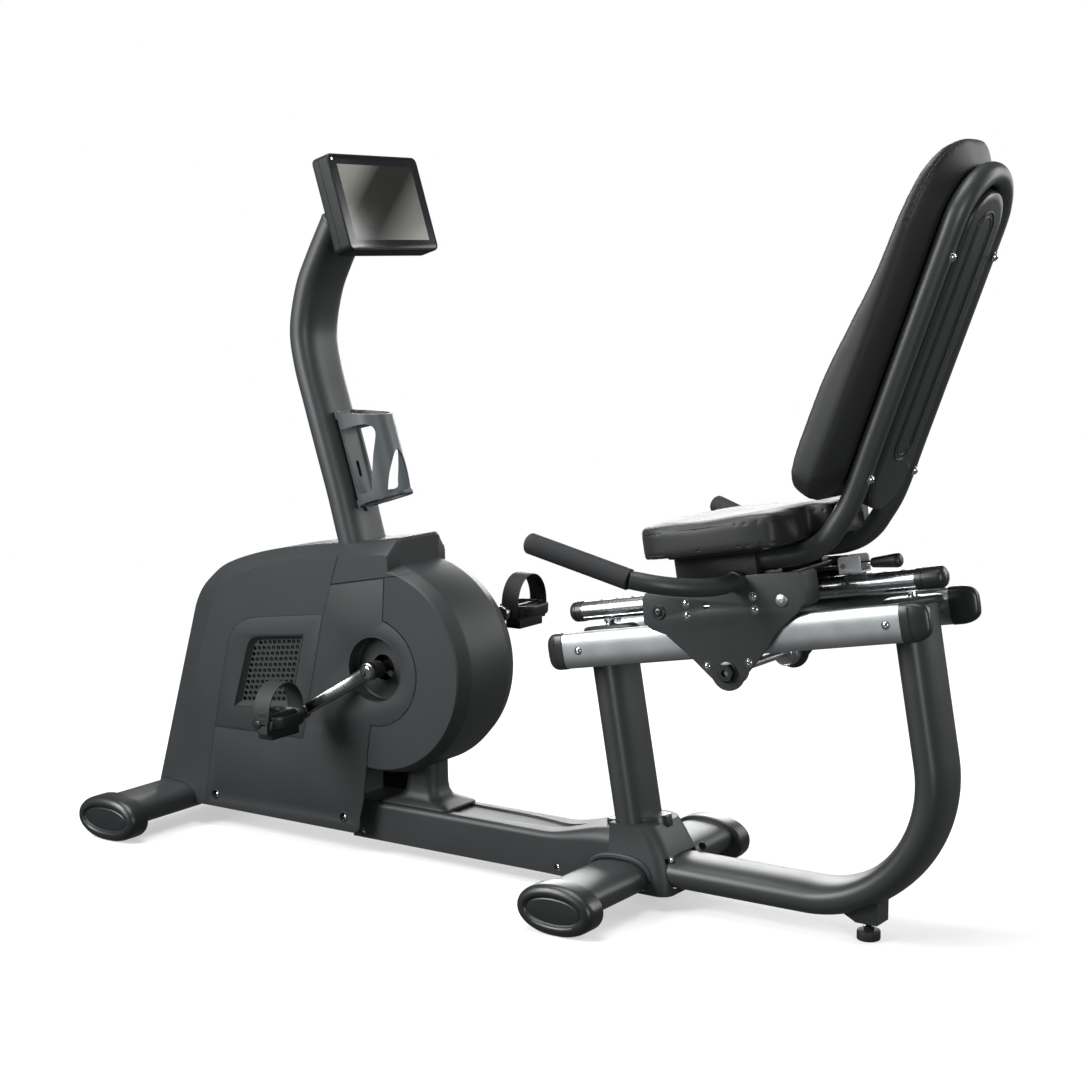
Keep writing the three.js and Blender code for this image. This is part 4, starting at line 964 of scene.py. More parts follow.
# %% Bottle cage
def bottle_cage():
    """A band round the bottle, closed at the back by the spine. Windows and the slanted top are cut out of it."""
    low, high, wall = -105, 93, 3.6
    half = [(32.4, 20), (35, 27), (42, 35), (52, 41.5), (64, 44)]
    outer = [(x, -y) for x, y in half] + arc(97, 0, 44, -90, 90, 32) + half[::-1]
    band = plate("band", outer, low, high, "XY", CAGE, 0.9, [inset(outer, wall)])
    slant = plate("tool", [(30, high + 1), (146, 56), (240, 56), (240, 200), (30, 200)], -80, 80, "XZ", CAGE)
    window = [(78, -84), (88, -81), (93, -66), (104, -38), (113, -12), (121, 10), (125, 28), (121, 40), (110, 47),
              (90, 50)]
    drop = [(-35, -96), (-36, -88), (-29, -58), (-17, -32), (-8, -19), (0, -14), (8, -19), (17, -32), (29, -58),
            (36, -88),
            (35, -96)]
    side = plate("tool", flat_line(window, 4) + [(40, 52), (40, -78)], -80, 80, "XZ", CAGE)
    nose = plate("tool", flat_line(drop, 4), 100, 180, "YZ", CAGE)
    eye = turned("tool", [(0, 20), (5, 20), (5, 60), (0, 60)], CAGE, (0, 0, 60), "X", 24)
    slot = plate("tool", rounded(9, 34, 4.4, 0, -28), 20, 45, "YZ", CAGE)
    carve(band, slant, side, nose, eye, slot)
    lip = plate("lip", outer, low, low + 4, "XY", CAGE, 0.9, [inset(outer, 12)])
    tab = plate("tab", [(-10, low + 2), (10, low + 2), (5, low - 9), (-5, low - 9)], 32.4, 36, "YZ", CAGE, 0.6)
    crests = []
    for z in (low - 1, 76):
        outline = [(30.4, z), (46, z), (46, z + 14), (36, z + 17), (30.4, z + 14)]
        crests += [plate("crest", outline, y, y + 3.4, "XZ", CAGE, 0.8) for y in (-27, 23.6)]
    return merge("bottle_cage_fine", band, lip, tab, *crests)


cage = crisp(bottle_cage())
dress(cage, "frame", CAGE_PLASTIC, "cage", "bottle_cage")
for z in (60, -28):
    dress(domed_bolt(f"cage_bolt_{z}", 4.6, CAGE, (31, 0, z), "X"), "frame", DARK_STEEL, "chrome")
print("bottle cage:", len(cage.data.polygons), "faces")

# %% [markdown]
# ## Rails and guide
#
# Two satin rails with rounded-rectangle sections carry the rollers, and a round guide rail between them,
# a little higher, has fine grooves along it and a row of latch holes in its top. Rounded caps close all
# six ends, and button-head bolts fix the side rails to the bars beneath the guide.

# %% Side rails, their bolts and caps
RAIL_FRONT, RAIL_REAR = -122, 548.5
rail_section = oval(28, 66, 3.2, 72)


def rail_cap(name, length, sign, end):
    """A boot for the end of a rail: straight for a way, then rounded in side view."""
    width, height, straight = 30, 68, 16
    rings = [(width - 2 * d, height - 2 * d, along) for d, along in ((1.2, 0), (0.2, 0.4), (0, 1.6), (0, straight))]
    for t in [math.radians(a) for a in (14, 28, 42, 54, 64, 72, 79, 85)]:
        rings.append((width * (0.34 + 0.66 * math.cos(t)), height * (0.42 + 0.58 * math.cos(t)),
                      straight + (length - straight) * math.sin(t)))
    shaped = [[(end + sign * along, y - RAIL_Y, n) for y, n in oval(w, h, 3.2, 72)] for w, h, along in rings]
    cap = stack(name, shaped, RAILS)
    line = [(end + sign * 17, -RAIL_Y - 15.2, n) for n in (-27, -14, 0, 14, 27)]
    return merge(name, cap, sweep(name + "_line", line, circle(0.8, 10), RAILS, dome=(1, 1)))


for label in ("left", "right"):
    rail = sweep(f"rail_{label}_fine", [(RAIL_FRONT, -RAIL_Y, 0), (RAIL_REAR, -RAIL_Y, 0)], rail_section, RAILS)
    front = rail_cap(f"rail_cap_front_{label}_fine", 36, -1, RAIL_FRONT - 0.3)
    rear = rail_cap(f"rail_cap_rear_{label}_fine", 50, 1, RAIL_REAR + 0.3)
    bolts = []
    for k, s in enumerate((-88.5, 523.3)):
        place = RAILS @ Matrix.Translation((s, -RAIL_Y - 13.6, 0)) @ Matrix.Rotation(math.pi, 4, "Z")
        bolts.append(domed_bolt(f"rail_bolt_{label}_{k}", 6.2, place, (0, 0, 0)))
    if label == "right":
        for obj in (rail, front, rear, *bolts):
            obj.data.transform(Matrix.Scale(-1, 4, (0, 1, 0)))
            obj.data.flip_normals()
    dress(rail, "frame", RAIL_METAL, "rail", f"rail_{label}")
    dress(front, "frame", CAP_PLASTIC, "cap", f"rail_cap_front_{label}")
    dress(rear, "frame", CAP_PLASTIC, "cap", f"rail_cap_rear_{label}")
    for bolt in bolts:
        dress(bolt, "frame", CHROME, "chrome")
print("rails:", round(rail.dimensions.x, 3), "m long in plan")

# %% [markdown]
# The guide's grooves are part of its section, a circle with six shallow notches. The latch holes in its top
# are drilled with turned pins. Two domed plugs close the tubes below it, and each has a stud that carries
# the guide.

# %% Guide rail, its caps and the plugs that carry it
GUIDE_N, GUIDE_R = 60.6, 18.5
GROOVES, LATCHES = (8, 172, 34, 146, -34, 214), range(-96, 520, 34)
section = []
for k in range(144):
    a = 2 * math.pi * k / 144
    groove = 1.3 if any(abs((math.degrees(a) - g + 180) % 360 - 180) < 3.2 for g in GROOVES) else 0
    section.append(((GUIDE_R - groove) * math.cos(a), (GUIDE_R - groove) * math.sin(a)))
guide = sweep("guide_rail_fine", [(-136, 0, GUIDE_N), (539, 0, GUIDE_N)], section, RAILS)
pin = [(0, 14.8), (5, 14.8), (5, 30), (0, 30)]
carve(guide, *[turned("latch", pin, RAILS, (s, 0, GUIDE_N), "Z", 20) for s in LATCHES])
dress(guide, "frame", GUIDE_METAL, "guide", "guide_rail")


def guide_cap(name, end, sign, length):
    """A boot with a groove round it and a domed end."""
    dome, r = 12, 19.5
    profile = [(18.8, 0), (19.4, 0.6), (r, 2), (r, 12), (18.2, 12.6), (18.2, 14), (r, 14.6), (r, length - dome)]
    profile += [(r * math.cos(a) ** 0.8, length - dome + dome * math.sin(a))
                for a in [math.radians(a) for a in (20, 40, 58, 74, 88)]]
    return turned(name, [(0, 0)] + [(r, sign * d) for r, d in profile], RAILS, (end, 0, GUIDE_N), "X", 48)


dress(guide_cap("guide_cap_front_fine", -136.3, -1, 30), "frame", CAP_PLASTIC, "cap", "guide_cap_front")
dress(guide_cap("guide_cap_rear_fine", 539.3, 1, 54), "frame", CAP_PLASTIC, "cap", "guide_cap_rear")
PLUG_PROFILE = [(3, TUBE_TOP + 0.3), (0.6, TUBE_TOP + 0.8), (0, TUBE_TOP + 2), (0.8, 25), (3.4, 28.6), (8, 31.4),
                (14, 32.8), (20, 33)]
STUD_PROFILE = [(0, 30), (13, 30), (13, 33.6), (9.4, 34), (9.4, 38), (11.5, 38.4), (11.5, 41.6), (0, 41.6)]
for label, s in (("post", POST_S), ("bow", BOW_S)):
    dome = oval_turned(f"{label}_plug_dome", 118, 58, 2.2, PLUG_PROFILE, (s, 0, 0), "Z", RAILS)
    stud = turned("stud", STUD_PROFILE, RAILS, (s, 0, 0), "Z", 32)
    dress(dome, "frame", CAP_PLASTIC, "cap", f"{label}_plug")
    dress(stud, "frame", CHROME, "chrome")
print("latch holes:", len(LATCHES))

# %% [markdown]
# ## Cranks and pedals
#
# Each crank arm is forged, tapers towards the pedal and bows outwards, and is polished. It is a sweep
# whose section shrinks along the way, between two round bosses. A pedal is a moulded tray with a heavy
# block under it, so that the strap always ends up on top. The strap is a flat band that bends over the
# foot; its narrow tail is pierced with slots that hook over a button on the outside of the pedal.

# %% Cranks
CRANK_RADIUS, CRANK_ANGLE = 170, 32.5
AXLE_R, PEDAL_Y = 7, 216


def crank_place(side, x, z, angle=0.0):
    """The frame of a crank or pedal, X along the arm. The right side's frame is the left's, mirrored."""
    place = BIKE @ Matrix.Translation((x, 0, z)) @ Matrix.Rotation(math.radians(angle), 4, "Y")
    return place if side < 0 else place @ Matrix.Scale(-1, 4, (0, 1, 0))


def crank_arm(label, side):
    turn = 180 - CRANK_ANGLE if side < 0 else -CRANK_ANGLE
    place = crank_place(side, CRANK_X, CRANK_Z, turn)
    line = smooth_line([(4, -110, 0), (44, -113, 0), (80, -122, 0), (112, -131, 0), (142, -138.5, 0),
                        (170, -141, 0)], 6)
    blade = sweep("blade", line, oval(27, 14.5, 3.0, 40), place, (0, 0, 1), (0, 0), lambda t: 1.06 - 0.2 * t)
    hub_profile = [(0, -102), (17.4, -102), (18, -103), (18, -116.5), (17, -119), (14.6, -120), (13.6, -118.6),
                   (0, -118.6)]
    hub = turned("hub", hub_profile, place, steps=48)
    shank_profile = [(0, -80), (15.5, -80), (16.8, -81.4), (17, -84), (17, -101.8), (0, -101.8)]
    shank = turned(f"crank_shank_{label}", shank_profile, place, steps=48)
    dress(shank, "crank", BLACK_PLASTIC, "black")
    eye = turned("eye", [(0, -134), (13.6, -134), (14.8, -135.2), (15.2, -137), (15.2, -145), (14, -147.4),
                         (0, -147.8)],
                 place, (CRANK_RADIUS, 0, 0), "Y", 40)
    pin = turned("pin", [(0, -147), (9.5, -147), (9.5, -153), (AXLE_R, -154), (AXLE_R, -258), (AXLE_R - 1.5, -260),
                         (0, -260)],
                 place, (CRANK_RADIUS, 0, 0), "Y", 28)
    arm = merge(f"crank_arm_{label}_fine", blade, hub, eye, pin)
    # the arm's dark colour is a painted reflection on its chrome
    dress(arm, "crank", CRANK_METAL, "chrome", f"crank_arm_{label}")
    ring_profile = [(12.4, -118.5), (14.4, -118.5), (14.4, -120.2), (12.4, -120.2), (12.4, -118.5)]
    ring = turned(f"crank_ring_{label}", ring_profile, place)
    lid_profile = [(0, -118.5), (12.2, -118.5), (12.2, -120.6), (11, -121.6), (8, -122.4), (0, -122.8)]
    lid = turned(f"crank_lid_{label}", lid_profile, place)
    dress(ring, "crank", BLACK_PLASTIC, "black")
    dress(lid, "crank", CHROME, "chrome")
    a = math.radians(turn)
    return CRANK_X + CRANK_RADIUS * math.cos(a), CRANK_Z - CRANK_RADIUS * math.sin(a)


axle = turned("crank_axle_fine", [(0, -79.8), (9, -79.8), (10, -78.6), (10, 78.6), (9, 79.8), (0, 79.8)],
              at=(CRANK_X, 0, CRANK_Z), steps=32)
dress(axle, "crank", STEEL, "steel", "crank_axle")
print("crank axle:", round(axle.dimensions.y, 3), "m long")

# %% [markdown]
# A pedal is drawn flat in a frame of its own, at the end of its arm. A mirrored frame makes the other
# side's pedal from the same numbers.

# %% Pedals
def pedal(label, side, x, z):
    place = crank_place(side, x, z) @ Matrix.Translation((0, -PEDAL_Y, 0))
    plan = lambda d: oval(84 - 2 * d, 98 - 2 * d, 2.9, 72)
    levels = [(8, -12), (3, -11.2), (1, -9), (0.2, -5), (0, 6), (0.3, 10.4), (1.1, 11.9), (2.3, 11.9), (3, 10.6),
              (3.8, 4.4), (6, 3)]
    tray = stack("tray", [[(a, b, n) for a, b in plan(d)] for d, n in levels], place)
    weight = block("weight", (-17, -40.5, -36), (17, 40.5, -10), place, 2.5)
    cheek = [(-26, -8), (-19, -16), (-16.5, -20), (16.5, -20), (19, -16), (26, -8), (26, 4), (-26, 4)]
    cheeks = [plate("cheek", cheek, y, y + 7, "XZ", place, 1.2) for y in (-48.6, 41.6)]
    ribs = [block("rib", (-30 + k * 12 - 1.6, -36, 2), (-30 + k * 12 + 1.6, 36, 5.4), place, 0.9) for k in range(6)]
    bore = AXLE_R + 0.5
    sleeve = turned("sleeve", [(bore, -46), (11, -46), (11, 49), (AXLE_R + 2, 49), (bore, 47), (bore, -46)], place,
                    steps=32)
    knob = [(0, -55.4), (6.4, -55.4), (7.8, -54.6), (8, -53), (5, -52.4), (5, -46), (0, -46)]
    button = turned("button", knob, place, (-7, 0, -4), "Y", 28)
    body = merge(f"pedal_{label}_fine", tray, weight, *cheeks, *ribs, sleeve, button)
    dress(body, f"pedal_{label}_body", BLACK_PLASTIC, "black", f"pedal_{label}")
    half, rise = 51.4, 62
    side_up = lambda a: (0, half * math.cos(math.radians(a)), 10 + rise * abs(math.sin(math.radians(a))) ** 0.92)
    path = [(0, half, -13), (0, half, -4)] + [side_up(a) for a in range(0, 181, 9)] + [(0, -half, 2)]
    band = sweep("band", path, oval(40, 2.6, 8, 40), place, (1, 0, 0), (0.6, 0.6))
    slots = [[(a, b + z) for a, b in rounded(16, 3.4, 1.6, 0, 0, 4)] for z in (10, 2.5, -5)]
    tail = plate("tail", rounded(25, 44, 2.5, 0, -1, 5), -half - 1.4, -half + 1.2, "XZ", place, 0.7, slots)
    tail.data.transform(place @ Matrix.Translation((4, 0, 0)) @ place.inverted())
    strap = crisp(merge(f"pedal_strap_{label}_fine", band, tail))
    dress(strap, f"pedal_{label}_body", RUBBER, "black", f"pedal_strap_{label}")


for label, side in (("left", -1), ("right", 1)):
    pedal(label, side, *crank_arm(label, side))
print("pedals and cranks ready")

# %% [markdown]
# ## Display
#
# The display is a flat moulded box with a rounded bezel round a sheet of dark glass. A real screen that is
# off is black but not even: it reflects the room. Here that reflection is painted into the material as a
# fixed, faint gradient, so that the glass never looks like a hole. A small white lamp sits in the bezel's corner.

# %% Screen finishes
def dark_glass(name):
    """Black glass over the whole front: it reflects, and smears of handling dull it a little."""
    glass = Finish(name, (0.004, 0.0055, 0.0075), Specular_IOR_Level=0.5, Coat_Roughness=0.05)
    smear = glass.noise(30, 3.0)
    glass.drive("Base Color", glass.tint(smear, (0.003, 0.0045, 0.006), (0.005, 0.007, 0.009)))
    glass.drive("Roughness", smear * 0.08 + 0.14)
    return glass.material


def painted_room_reflection(name):
    """A painted reflection on the screen behind the glass: a warm grey that is bright in two opposite corners."""
    reflection_layer = Finish(name, (0.02, 0.02, 0.018), Specular_IOR_Level=0.4)
    side = reflection_layer.node("SeparateXYZ", {}, {0: reflection_layer.place}, 1)
    rise = reflection_layer.node("SeparateXYZ", {}, {0: reflection_layer.place}, 2)
    slant = (side * 0.62 - (rise - SCREEN_MIDDLE[1] / 1000) * 0.78) * 4.6 + 0.5
    stops = [(0.0, (0.20, 0.20, 0.185, 1)), (0.10, (0.17, 0.17, 0.158, 1)), (0.30, (0.016, 0.0155, 0.013, 1)),
             (0.58, (0.0135, 0.013, 0.0115, 1)), (0.80, (0.13, 0.13, 0.12, 1)), (1.0, (0.20, 0.20, 0.185, 1))]
    # the ramp paints the room's reflection: bright in two opposite corners, dark between them
    glow = reflection_layer.node("ValToRGB", {"stops": stops}, {0: slant})
    reflection_layer.drive("Base Color", glow)
    reflection_layer.drive("Roughness", reflection_layer.noise(30, 3.0) * 0.08 + 0.16)
    return reflection_layer.material


def white_lamp(name):
    lamp = Finish(name, (0.9, 0.92, 0.93), Roughness=0.3, Emission_Strength=0.8)
    lamp.drive("Emission Color", lamp.tint(lamp.noise(1.5, 2.0), (0.8, 0.82, 0.84), (1, 1, 1)))
    return lamp.material


# the second of these finishes is the painted reflection on the screen
GLASS, REFLECTION, LAMP = dark_glass("screen_glass"), painted_room_reflection("idle_screen"), white_lamp("status_lamp")
print("screen finishes:", GLASS.name, REFLECTION.name, LAMP.name)

# %% [markdown]
# The case is a stack of rounded rectangles, with a groove round it and a rolled bezel. The barrel at its
# back lies round the hinge pin, whose place is worked out in the screen's own frame.

# %% Display housing, glass and small parts
HALF_W, HALF_H = 140, 96


def screen_ring(d, x, radius=13):
    return [(x, y, z) for y, z in rounded(2 * (HALF_W - d), 2 * (HALF_H - d), max(radius - d, 3), 0, 0, 10)]


bezel_levels = [(4, -41), (1.2, -40), (0.2, -38), (0, -35), (0, -24), (0.8, -23.4), (0.8, -22.2), (0, -21.6), (0, -4),
                (0.3, -1.6), (1.2, -0.3), (2.4, 0), (3.6, 0), (4.2, -0.6), (4.4, -2.2)]
case = stack("case", [screen_ring(d, x) for d, x in bezel_levels], SCREEN)
hinge_x, hinge_z = -668, 1268
tilt = math.radians(SCREEN_TILT)
dx, dz = hinge_x - SCREEN_MIDDLE[0], hinge_z - SCREEN_MIDDLE[1]
hx, hz = dx * math.cos(tilt) + dz * math.sin(tilt), -dx * math.sin(tilt) + dz * math.cos(tilt)
lug_profile = [(5.4, -20), (10, -20), (11, -19), (11, 19), (10, 20), (5.4, 20), (5.4, -20)]
lug_barrel = turned("lug", lug_profile, SCREEN, (hx, 0, hz), "Y", 32)
lug_arm = block("arm", (hx + 6, -20, hz - 9), (-39, 20, hz + 9), SCREEN, 1.5)
rear_panel = plate("rear_panel", rounded(2 * HALF_W - 60, 2 * HALF_H - 50, 10), -43, -39, "YZ", SCREEN, 1.2)
case = merge("display_housing_fine", case, lug_barrel, lug_arm, rear_panel)
dress(case, "display", DISPLAY_PLASTIC, "black", "display_housing")
pane_outline = rounded(2 * (HALF_W - 4.3), 2 * (HALF_H - 4.3), 8.7, 0, 0, 10)
pane = plate("display_glass_fine", pane_outline, -2.4, -0.6, "YZ", SCREEN, 0.4)
dress(pane, "display", GLASS, "screen", "display_glass")
# the plate behind the glass that carries the painted reflection
reflection_layer = plate("idle_screen_area", [(-116, -75), (116, -75), (116, 75), (-116, 75)], -1.2, -0.45, "YZ", SCREEN, 0.1)
dress(reflection_layer, "display", REFLECTION, "screen")
lamp_profile = [(0, -0.9), (2.6, -0.9), (2.6, -0.5), (1.8, -0.3), (0, -0.2)]
lamp = turned("status_lamp_dot", lamp_profile, SCREEN, (0, -HALF_W + 13, HALF_H - 11), "X", 20)
dress(lamp, "display", LAMP, "screen")
vents = [plate("vent", rounded(70, 4, 2, 0, 30 + 9 * k, 5), -43.6, -42.6, "YZ", SCREEN, 0.3) for k in range(4)]
dress(merge("display_vents", *vents), "display", BLACK_PLASTIC, "black")
print("display hinge at", round(hx, 1), round(hz, 1), "in the screen's frame")

# %% [markdown]
# The fork stands on the lid of the mast: two ears with a pin between them, and a bolt head at each end.

# %% Fork that carries the display
TOP_X, TOP_Z = -712, 1250
ALONG, SQUARE = (0.481, 0.876), (0.876, -0.481)
on_mast = lambda a, b: (TOP_X + a * SQUARE[0] + b * ALONG[0], TOP_Z + a * SQUARE[1] + b * ALONG[1])
lid_place = BIKE @ Matrix.Translation((TOP_X, 0, TOP_Z)) @ Matrix.Rotation(math.atan2(ALONG[0], ALONG[1]), 4, "Y")
lid_levels = [(119, 59, 0.5), (121, 61, 1), (121, 61, 5), (118, 58, 7), (110, 50, 7.4)]
lid = stack("lid", [[(b, a, n) for a, b in oval(w, h)] for w, h, n in lid_levels], lid_place)
ear = [on_mast(-20, 2), on_mast(27, 2), (-658, 1257), *arc(-667, 1268.5, 12, -20, 110, 8), (-684, 1275)]
ears = [plate("ear", ear, y, y + 7, "XZ", BIKE, 1.2) for y in (-28, 21)]
pin = turned("pin", [(0, -28), (5, -28), (5, 28), (0, 28)], at=(hinge_x, 0, hinge_z), steps=24)
fork = merge("display_bracket_fine", lid, *ears, pin)
dress(fork, "frame", FRAME_COAT, "frame_coat", "display_bracket")
for name, place in (("left", BIKE @ Matrix.Scale(-1, 4, (0, 1, 0))), ("right", BIKE)):
    dress(domed_bolt(f"hinge_bolt_{name}", 8, place, (hinge_x, 28, hinge_z)), "frame", CHROME, "chrome")
print("fork ready")

# %% [markdown]
# ## Seat carriage
#
# Two bent steel plates hang outside the rails and hold a tray between them. Bolts in the plates are the
# axles of the small wheels that run on the rails; a big nut at the bottom point holds the lower roller.
# The plates are flat outlines with slightly rounded edges, and each bolt head is its own small solid.

# %% Carriage plates
PLATE_IN, PLATE_OUT = 120, 125
plate_edge = [(67, 82), (63.5, 40), (78, 27), (104, 17), (151, -29), *arc(218, -58, 33, 200, 340, 14),
              (297, -27), (330, 9), *arc(359, 48, 18, -40, -22, 3), (382, 104), (300, 107), (110, 104), (74, 92)]
open_hole = [(194.5 + a, 60 + b) for a, b in circle(6, 24)]


def ringed_bolt(name, s, n, radius, place):
    """A flat-headed pivot bolt inside a raised ring."""
    profile = [(0, -2), (radius, -2), (radius, 1.8), (radius - 1, 2.6), (radius * 0.74, 2.6), (radius * 0.7, 1.2),
               (radius * 0.58, 1.2), (radius * 0.52, 3.2), (radius * 0.3, 3.9), (radius * 0.22, 2.8), (0, 2.6)]
    return turned(name, profile, place, (s, PLATE_OUT, n), "Y", 36)


flange_outline = [(371, 42), (379, 44), (386, 50), (386, 97), (382, 103), (371, 103)]
rivet_profile = [(0, 0), (11.4, 0), (11.4, 1.2), (10, 3.2), (6, 4.4), (3.4, 4.8), (3.2, 3.8), (0, 3.8)]
washer_profile = [(6, 0), (19, 0), (19, 1.6), (18, 2.2), (6, 2.2), (6, 0)]
ROLLER_S, ROLLER_N = 218.2, -58.2
for label, place in (("left", RAILS @ Matrix.Scale(-1, 4, (0, 1, 0))), ("right", RAILS)):
    sheet = plate("sheet", plate_edge, PLATE_IN, PLATE_OUT, "XZ", place, 1.1, [open_hole])
    flange = plate("flange", flange_outline, 66, PLATE_OUT - 0.6, "XZ", place, 1.6)
    bent = merge(f"carriage_plate_{label}_fine", sheet, flange)
    dress(bent, "carriage", FRAME_COAT, "frame_coat", f"carriage_plate_{label}")
    dress(ringed_bolt(f"pivot_bolt_{label}", 97.5, 57, 13, place), "carriage", DARK_STEEL, "steel")
    rivet = turned(f"rivet_{label}", rivet_profile, place, (343, PLATE_OUT, 58), "Y", 32)
    dress(rivet, "carriage", RAIL_METAL, "rail")
    for k, (s, n) in enumerate(((155, 67), (154, 46), (289, 69), (289, 46), (180, -45), (263, -44))):
        dress(domed_bolt(f"plate_bolt_{label}_{k}", 6.4, place, (s, PLATE_OUT, n)), "carriage", CHROME, "chrome")
    washer = turned(f"nut_washer_{label}", washer_profile, place, (ROLLER_S, PLATE_OUT, ROLLER_N), "Y", 40)
    nut = hex_nut(f"roller_nut_{label}", 29, 10, place, (ROLLER_S, PLATE_OUT + 2, ROLLER_N), "Y", 7)
    dress(washer, "carriage", DARK_STEEL, "steel")
    dress(nut, "carriage", DARK_STEEL, "steel")
print("carriage plates:", len(plate_edge), "corners before rounding")

# %% [markdown]
# Between the plates lies the tray: a deck, blocks that fix it to the plates, strips that carry the seat, and
# a tongue at the back. A small pale bracket on the tongue holds the lock lever.

# %% Tray under the seat
def strip(side, s0, s1, near, far, n0, n1):
    """A bar along the rails, between two distances from the bike's middle."""
    low, high = sorted((side * near, side * far))
    return block("strip", (s0, low, n0), (s1, high, n1), RAILS, 1.2)


tray_parts = [block("deck", (110, -119.5, 92), (330, 119.5, 100), RAILS, 1.5)]
for side in (-1, 1):
    tray_parts += [strip(side, s - 24, s + 12, 89.5, 117.5, 33.7, 94) for s in (130, 318)]
    tray_parts += [strip(side, s, s + 26, 77.6, 101.6, 98, 109.7) for s in (206, 300)]
    tray_parts.append(strip(side, 140, 300, 108.9, 118, 98, 148))
tray_parts.append(block("tongue", (322, -20, 92), (404, 20, 96), RAILS, 1))
dress(merge("seat_tray_fine", *tray_parts), "carriage", BLACK_PLASTIC, "black", "seat_tray")
LEVER_S, LEVER_N = 412, 96
cheek = [(404, 82), (446, 82), (446, 107), *arc(440, 107, 6, 0, 90, 5), *arc(LEVER_S, 105, 8, 90, 180, 5)]
pin_hole = [(LEVER_S + a, LEVER_N + b) for a, b in circle(4.5, 20)]
bracket = [plate("cheek", cheek, y - 2, y + 2, "XZ", RAILS, 1, [pin_hole]) for y in (-18, 18)]
bracket.append(block("sole", (404, -20, 82), (446, 20, 85), RAILS, 1))
dress(merge("lever_bracket", *bracket), "carriage", LEVER_PLASTIC, "steel")
print("tray: one deck,", len(tray_parts) - 1, "pads and strips")

# %% [markdown]
# The roller under the rails is an axle with a grooved wheel at each end. One profile, turned about the
# axle, gives all of it.

# %% Lower roller
def wheel(a, b):
    """The profile of one wheel, from a to b along the axle."""
    return [(7.5, a), (13, a), (14, a + 1), (21.5, a + 1), (23.1, a), (24.6, a + 1.8), (24.6, b - 1.8), (23.1, b),
            (21.5, b - 1), (14, b - 1), (13, b), (7.5, b)]


roller_profile = [(0, -131), (5, -131), (6, -130), (6, -117.6), *wheel(-117.5, -89.5), (7.5, -89), (7.5, 89),
                  *wheel(89.5, 117.5), (6, 117.6), (6, 130), (5, 131), (0, 131)]
roller = turned("lower_roller_fine", roller_profile, RAILS, (ROLLER_S, 0, ROLLER_N), "Y", 56)
dress(roller, "roller", STEEL, "steel", "lower_roller")
print("lower roller:", round(roller.dimensions.y, 3), "m wide")

# %% [markdown]
# The lever is a cam on a pin, with a thin rod and a tapered knob for the hand. The rod and the knob are two
# pieces because their finishes differ.

# %% Lock lever
LEVER_AT = (LEVER_S, 0, LEVER_N)
lever_pin = turned("pin", [(0, -21), (3.4, -21), (4, -20.2), (4, 20.2), (3.4, 21), (0, 21)], RAILS, LEVER_AT, "Y", 24)
cam = turned("cam", [(4, -15.5), (8.2, -15.5), (9, -14.6), (9, 14.6), (8.2, 15.5), (4, 15.5)], RAILS, LEVER_AT, "Y",
             32)
rod = turned("rod", [(0, 6), (4.5, 6), (4.5, 50), (0, 50)], RAILS, LEVER_AT, "X", 24)
dress(merge("lock_lever_rod", lever_pin, cam, rod), "lever", CHROME, "chrome", "lock_lever")
knob_profile = [(0, 47), (7, 47), (8, 47.6), (8.6, 50), (9.2, 56), (12.2, 90), (12.6, 94), (11.8, 98.4), (9, 101.6),
                (5, 103), (0, 103)]
knob = turned("lock_lever_knob", knob_profile, RAILS, LEVER_AT, "X", 40)
dress(knob, "lever", BLACK_PLASTIC, "black")
print("lock lever:", round(knob.dimensions.x, 3), "m of knob on its rod")

# %% [markdown]
# Each handle is a bent tube welded to its plate, with a foam grip over the straight end. A curve through a
# few points bends evenly, as a tube bender does.

# %% Side handles
grip_line = smooth_line([(130, -298, 650), (60, -308, 669.5), (-48, -328.5, 701)], 10)
tube_line = smooth_line([(239, -122, 634), (238, -147.5, 633), (233, -178, 632), (218, -212, 632.5), (196, -246, 636),
                         (168, -276, 642), (130, -298, 650)], 8)
tube = sweep("tube", tube_line, circle(16, 40), BIKE, (0, 0, 1))
carve(tube, block("tool", (0, -124.9, 400), (400, 200, 900)))
grip = sweep("handle_grip_left", grip_line, circle(18.5, 40), BIKE, (0, 0, 1), (1.5, 11))
bead = [(239, -125.1, 634), (239, -128.5, 633.8), (238.6, -132, 633.4)]
tube = merge("handle_left_tube", tube, sweep("weld", bead, circle(18.5, 36), BIKE, (0, 0, 1), (0, 2)))
for piece, material, finish in ((tube, FRAME_COAT, "frame_coat"), (grip, FOAM, "foam")):
    twin = mirrored(piece, piece.name.replace("left", "right"))
    dress(piece, "carriage", material, finish, "handle_left")
    dress(twin, "carriage", material, finish, "handle_right")
print("handles: grip", len(grip_line), "rings long")

# %% [markdown]
# ## Seat and backrest
#
# The seat pan is a moulded tray under the cushion, and the backrest is one bent tube with a moulded shell
# between its legs. Both cushions are foam under stretched vinyl. A hand-drawn cushion tends to look like
# a block, so each starts as a slightly small foam body, is remeshed evenly, and is blown up by the cloth
# solver. Gravity is off and the underside is held, so only the free faces swell between the edges.

# %% Seat pan, backrest tube and shell
LEG_Y, LEG_N = 89.6, 129


def seat_plan(by):
    """The seat from above: round front corners, and a tongue at the back between the backrest's legs."""
    w, tongue = 200 - by, LEG_Y - 19 - 6
    half = [(432 - by, tongue - 8), (424 - by, tongue), (388 - by, tongue + 4), (384 - by, tongue + 9),
            (384 - by, w - 30),
            *[(364 - by + 20 * math.cos(a), w - 30 + 24 * math.sin(a)) for a in (0.4, 0.8, 1.2)], (340, w - 2),
            (320, w),
            *arc(98 + by + 72, w - 72, 72, 90, 180, 12)]
    return half + [(s, -y) for s, y in half[::-1]]


